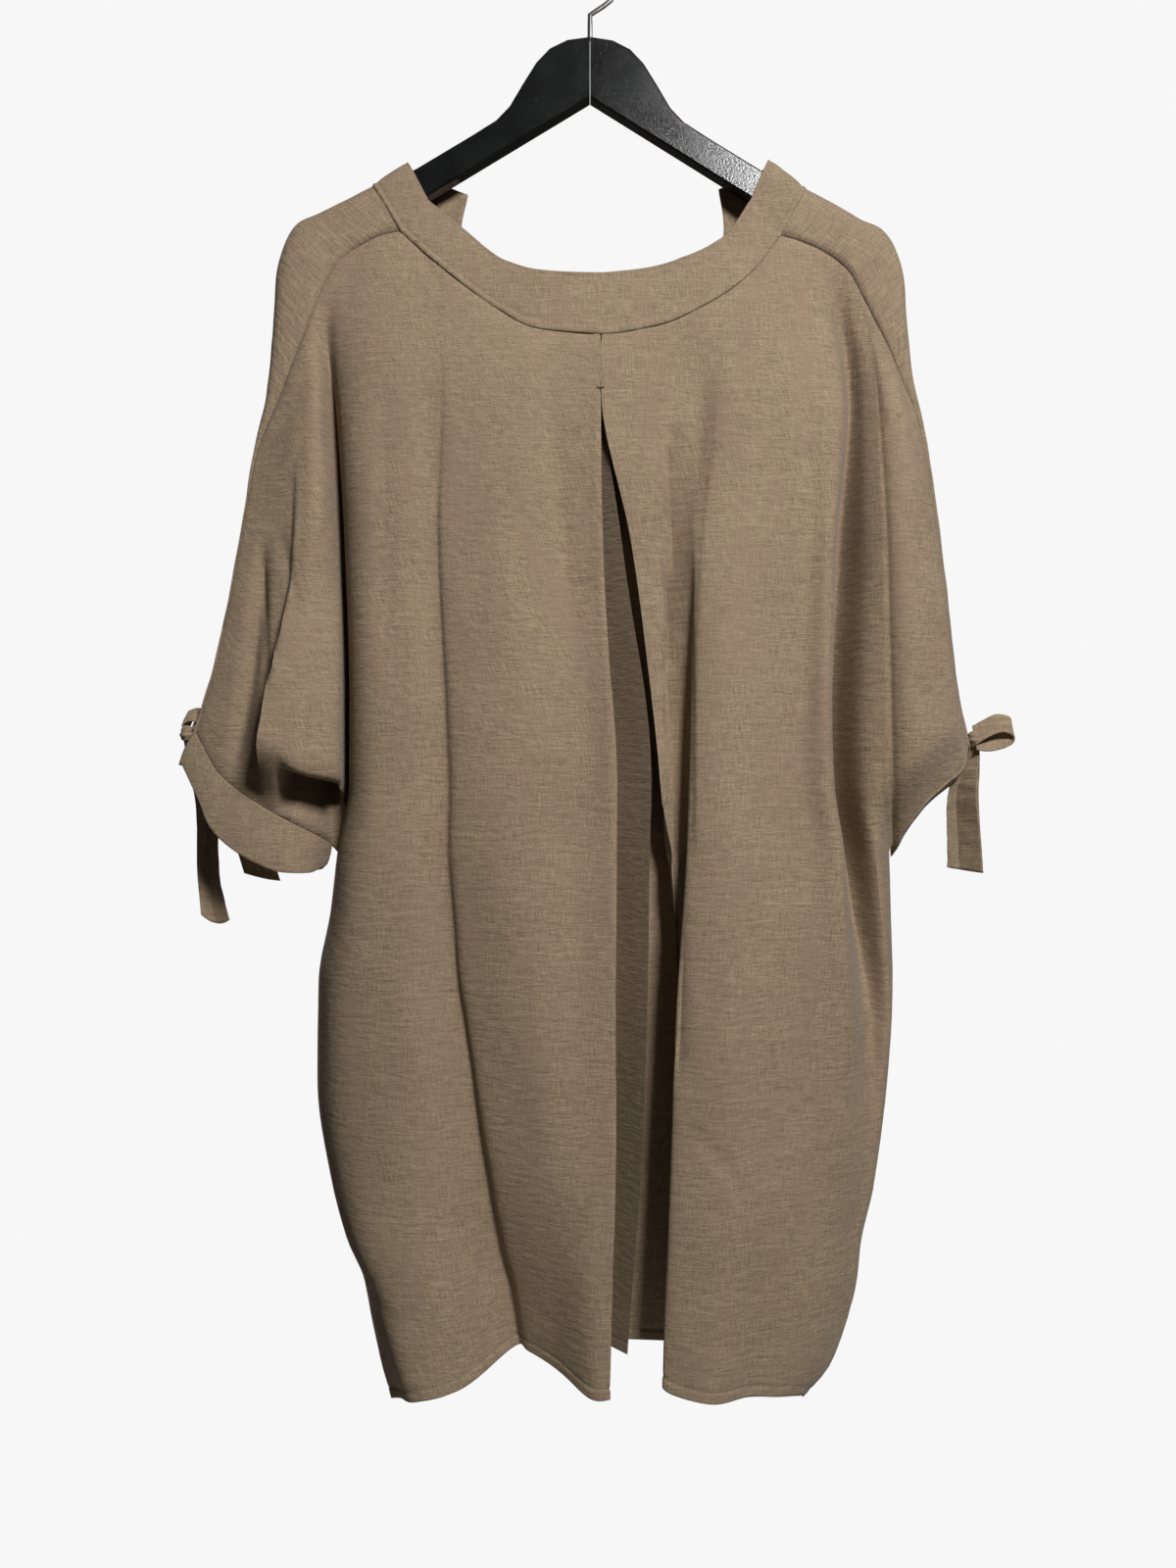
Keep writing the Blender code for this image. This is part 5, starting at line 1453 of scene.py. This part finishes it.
for name, table, side, node_name, strip_name in (
    ("left_cuff", CUFF_LEFT, -1, "cuff_left", "shoulder_strip_left"),
    ("right_cuff", CUFF_RIGHT, 1, "cuff_right", "shoulder_strip_right"),
):
    cloth = cuff_cloth(table, STRIPS[side])
    crown = -0.7 * np.sin(math.pi * np.array(CUFF_ROWS))[:, None] * np.ones(cloth.points.shape[:2])
    cloth.press(crown + 0.5 * ripple(cloth.points, (12, 10), 2.0 + side))
    cuff = cloth.object(name, linen)
    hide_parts(node_name)
    sew(name + "_stitches", [cloth.beside("top", 1.8), cloth.beside("bottom", 2.2)], 12 + side)


# ---------------------------------------------------------------- the ties
# A narrow tie of the same linen is knotted at the top of each sleeve end. Each leaves a loop
# and two free ends, folded along their middles.

TIE_WALL = 1.1

# Each free end: how far its cut end slants and is rounded, the size it was cut to in metres,
# and the line of its middle with its half width and how deep it is folded.
TAILS = {
    "tie_left_tail_a": dict(
        slant=-2,
        rounding=5,
        cut=(0.020, 0.148),
        line=Table(
            "step x y z half crease",
            (0, -303.9, 9.0, -585.9, 3.5, 2),
            (1, -301, 22, -606, 7, 4),
            (2, -295, 27, -640, 8, 6),
            (3, -293, 25, -690, 8.5, 5),
            (4, -287, 22, -728, 11, 4),
        ),
    ),
    "tie_left_tail_b": dict(
        slant=-3,
        rounding=1,
        cut=(0.023, 0.115),
        line=Table(
            "step x y z half crease",
            (0, -300.5, 14.9, -588, 3.5, 1),
            (1, -286, 28, -608, 9, 2),
            (2, -268, 33, -650, 13, 2),
            (3, -254, 33, -694, 14, 1),
        ),
    ),
    "tie_right_tail_a": dict(
        slant=-2,
        rounding=0.5,
        cut=(0.024, 0.097),
        line=Table(
            "step x y z half crease",
            (0, 288, 1, -594, 3.5, 2),
            (1, 285.5, 2, -603, 6.5, 6),
            (2, 281.5, 3, -614, 8.5, 10),
            (3, 279, 4, -632, 10.5, 14),
            (4, 280, 5, -652, 11.5, 15),
            (5, 281.5, 4, -686, 13, 13),
        ),
    ),
    "tie_right_tail_b": dict(
        slant=2,
        rounding=1,
        cut=(0.018, 0.084),
        line=Table(
            "step x y z half crease",
            (0, 289, 7.1, -591.5, 2.5, 1),
            (1, 291, 12, -601, 4.5, 1),
            (2, 290.5, 15, -612, 6, 2),
            (3, 288, 16, -632, 8, 3),
            (4, 288, 15, -672, 10, 2),
        ),
    ),
}
TAIL_SPLITS = 10
TAIL_COLUMNS = (-1, -0.93, -0.8, -0.6, -0.4, -0.25, -0.1, 0.05, 0.2, 0.4, 0.6, 0.8, 0.93, 1)


def tail_cloth(tail):
    table = tail["line"]
    last = table.rows[-1][0]
    rows = []
    middles = smooth_run([Vector(row[1:4]) for row in table.rows], TAIL_SPLITS)
    for place, middle in enumerate(middles):
        step = place / TAIL_SPLITS
        half, crease = table.at(step, "half"), table.at(step, "crease")
        slant = tail["slant"] * ease(last - 1, last, step)
        rounding = tail["rounding"] * ease(last - 1, last, step)
        row = []
        for across in TAIL_COLUMNS:
            fold = crease * (0.5 - abs(across + 0.1) / 1.1)
            corner = rounding * across**2
            row.append(middle + Vector((half * across, fold, slant * across + corner)))
        rows.append(row)
    return Cloth(rows, (0, -1, 0))


for name, tail in TAILS.items():
    cloth = tail_cloth(tail)
    crumples = 0.7 * ripple(cloth.points, (9, 8), 11.0)
    cloth.press(crumples + 0.4 * ripple(cloth.points, (30, 4), 13.0))
    _, side_name, _, letter = name.split("_")
    free_end = cloth.object(f"{side_name}_tie_end_{letter}", linen, TIE_WALL)
    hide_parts(name)

# Each loop: its depth, the half width of the tie in it, its cut size, and its line.
LOOPS = {
    "tie_left_loop": dict(
        depth=4,
        half=Vector((0, 7, 5)),
        cut=(0.018, 0.031),
        line=Table(
            "step x z",
            (0, -300.8, -577.0),
            (1, -304.8, -573.8),
            (2, -304.4, -570.8),
            (3, -298.6, -568.8),
            (4, -294.0, -570.0),
            (5, -295.2, -572.8),
            (6, -298.6, -576.0),
        ),
    ),
    "tie_right_loop": dict(
        depth=2,
        half=Vector((1, 7.5, 7)),
        cut=(0.021, 0.066),
        line=Table(
            "step x z",
            (0, 288.5, -584.5),
            (1, 297.5, -579.5),
            (2, 307.5, -575.4),
            (3, 316.5, -577.5),
            (4, 316.5, -583.5),
            (5, 308, -587.6),
            (6, 298, -589.4),
            (7, 289.5, -588.6),
        ),
    ),
}
LOOP_COLUMNS = (-1, -0.9, -0.7, -0.4, -0.1, 0.2, 0.5, 0.75, 0.9, 1)
LOOP_SPLITS = 8

for name, loop in LOOPS.items():
    path = [Vector((x, loop["depth"], z)) for _, x, z in loop["line"].rows]
    path = smooth_run(path, LOOP_SPLITS)
    rows = [[point + loop["half"] * across for point in path] for across in LOOP_COLUMNS]
    cloth = Cloth(rows, (0, -1, 0))
    cloth.press(0.5 * ripple(cloth.points, (6, 6), 5.0))
    side_name = name.split("_")[1]
    bow = cloth.object(f"{side_name}_tie_loop", linen, TIE_WALL)
    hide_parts(name)

KNOTS = {
    "tie_left_knot": dict(centre=(-302.3, 1, -583.4), size=(5, 7, 6)),
    "tie_right_knot": dict(centre=(287.9, 1, -587.4), size=(4.5, 7, 6)),
}
KNOT_WALL = 0.6
KNOT_SIDES = 40
KNOT_RINGS = 26

for name, row in KNOTS.items():
    centre, size = Vector(row["centre"]), row["size"]
    rows = []
    for ring in range(KNOT_RINGS + 1):
        turn = math.pi * clamp(ring / KNOT_RINGS, 0.01, 0.99)
        level_row = []
        for side in range(KNOT_SIDES):
            angle = 2 * math.pi * side / KNOT_SIDES
            wraps = 0.07 * math.sin(9 * turn + 2 * math.sin(angle))
            fold = 0.05 * math.cos(3 * angle + 4 * turn)
            level = math.sin(turn) * (1 + wraps + fold)
            place = (level * math.cos(angle), level * math.sin(angle), math.cos(turn))
            level_row.append(centre + Vector([a * b for a, b in zip(place, size)]))
        rows.append(level_row)
    outward = np.array([[tuple(point - centre) for point in level_row] for level_row in rows])
    side_name = name.split("_")[1]
    cloth = Cloth(rows, outward[:-1], ring=True)
    knot = cloth.object(f"{side_name}_tie_knot", linen, KNOT_WALL)
    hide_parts(name)
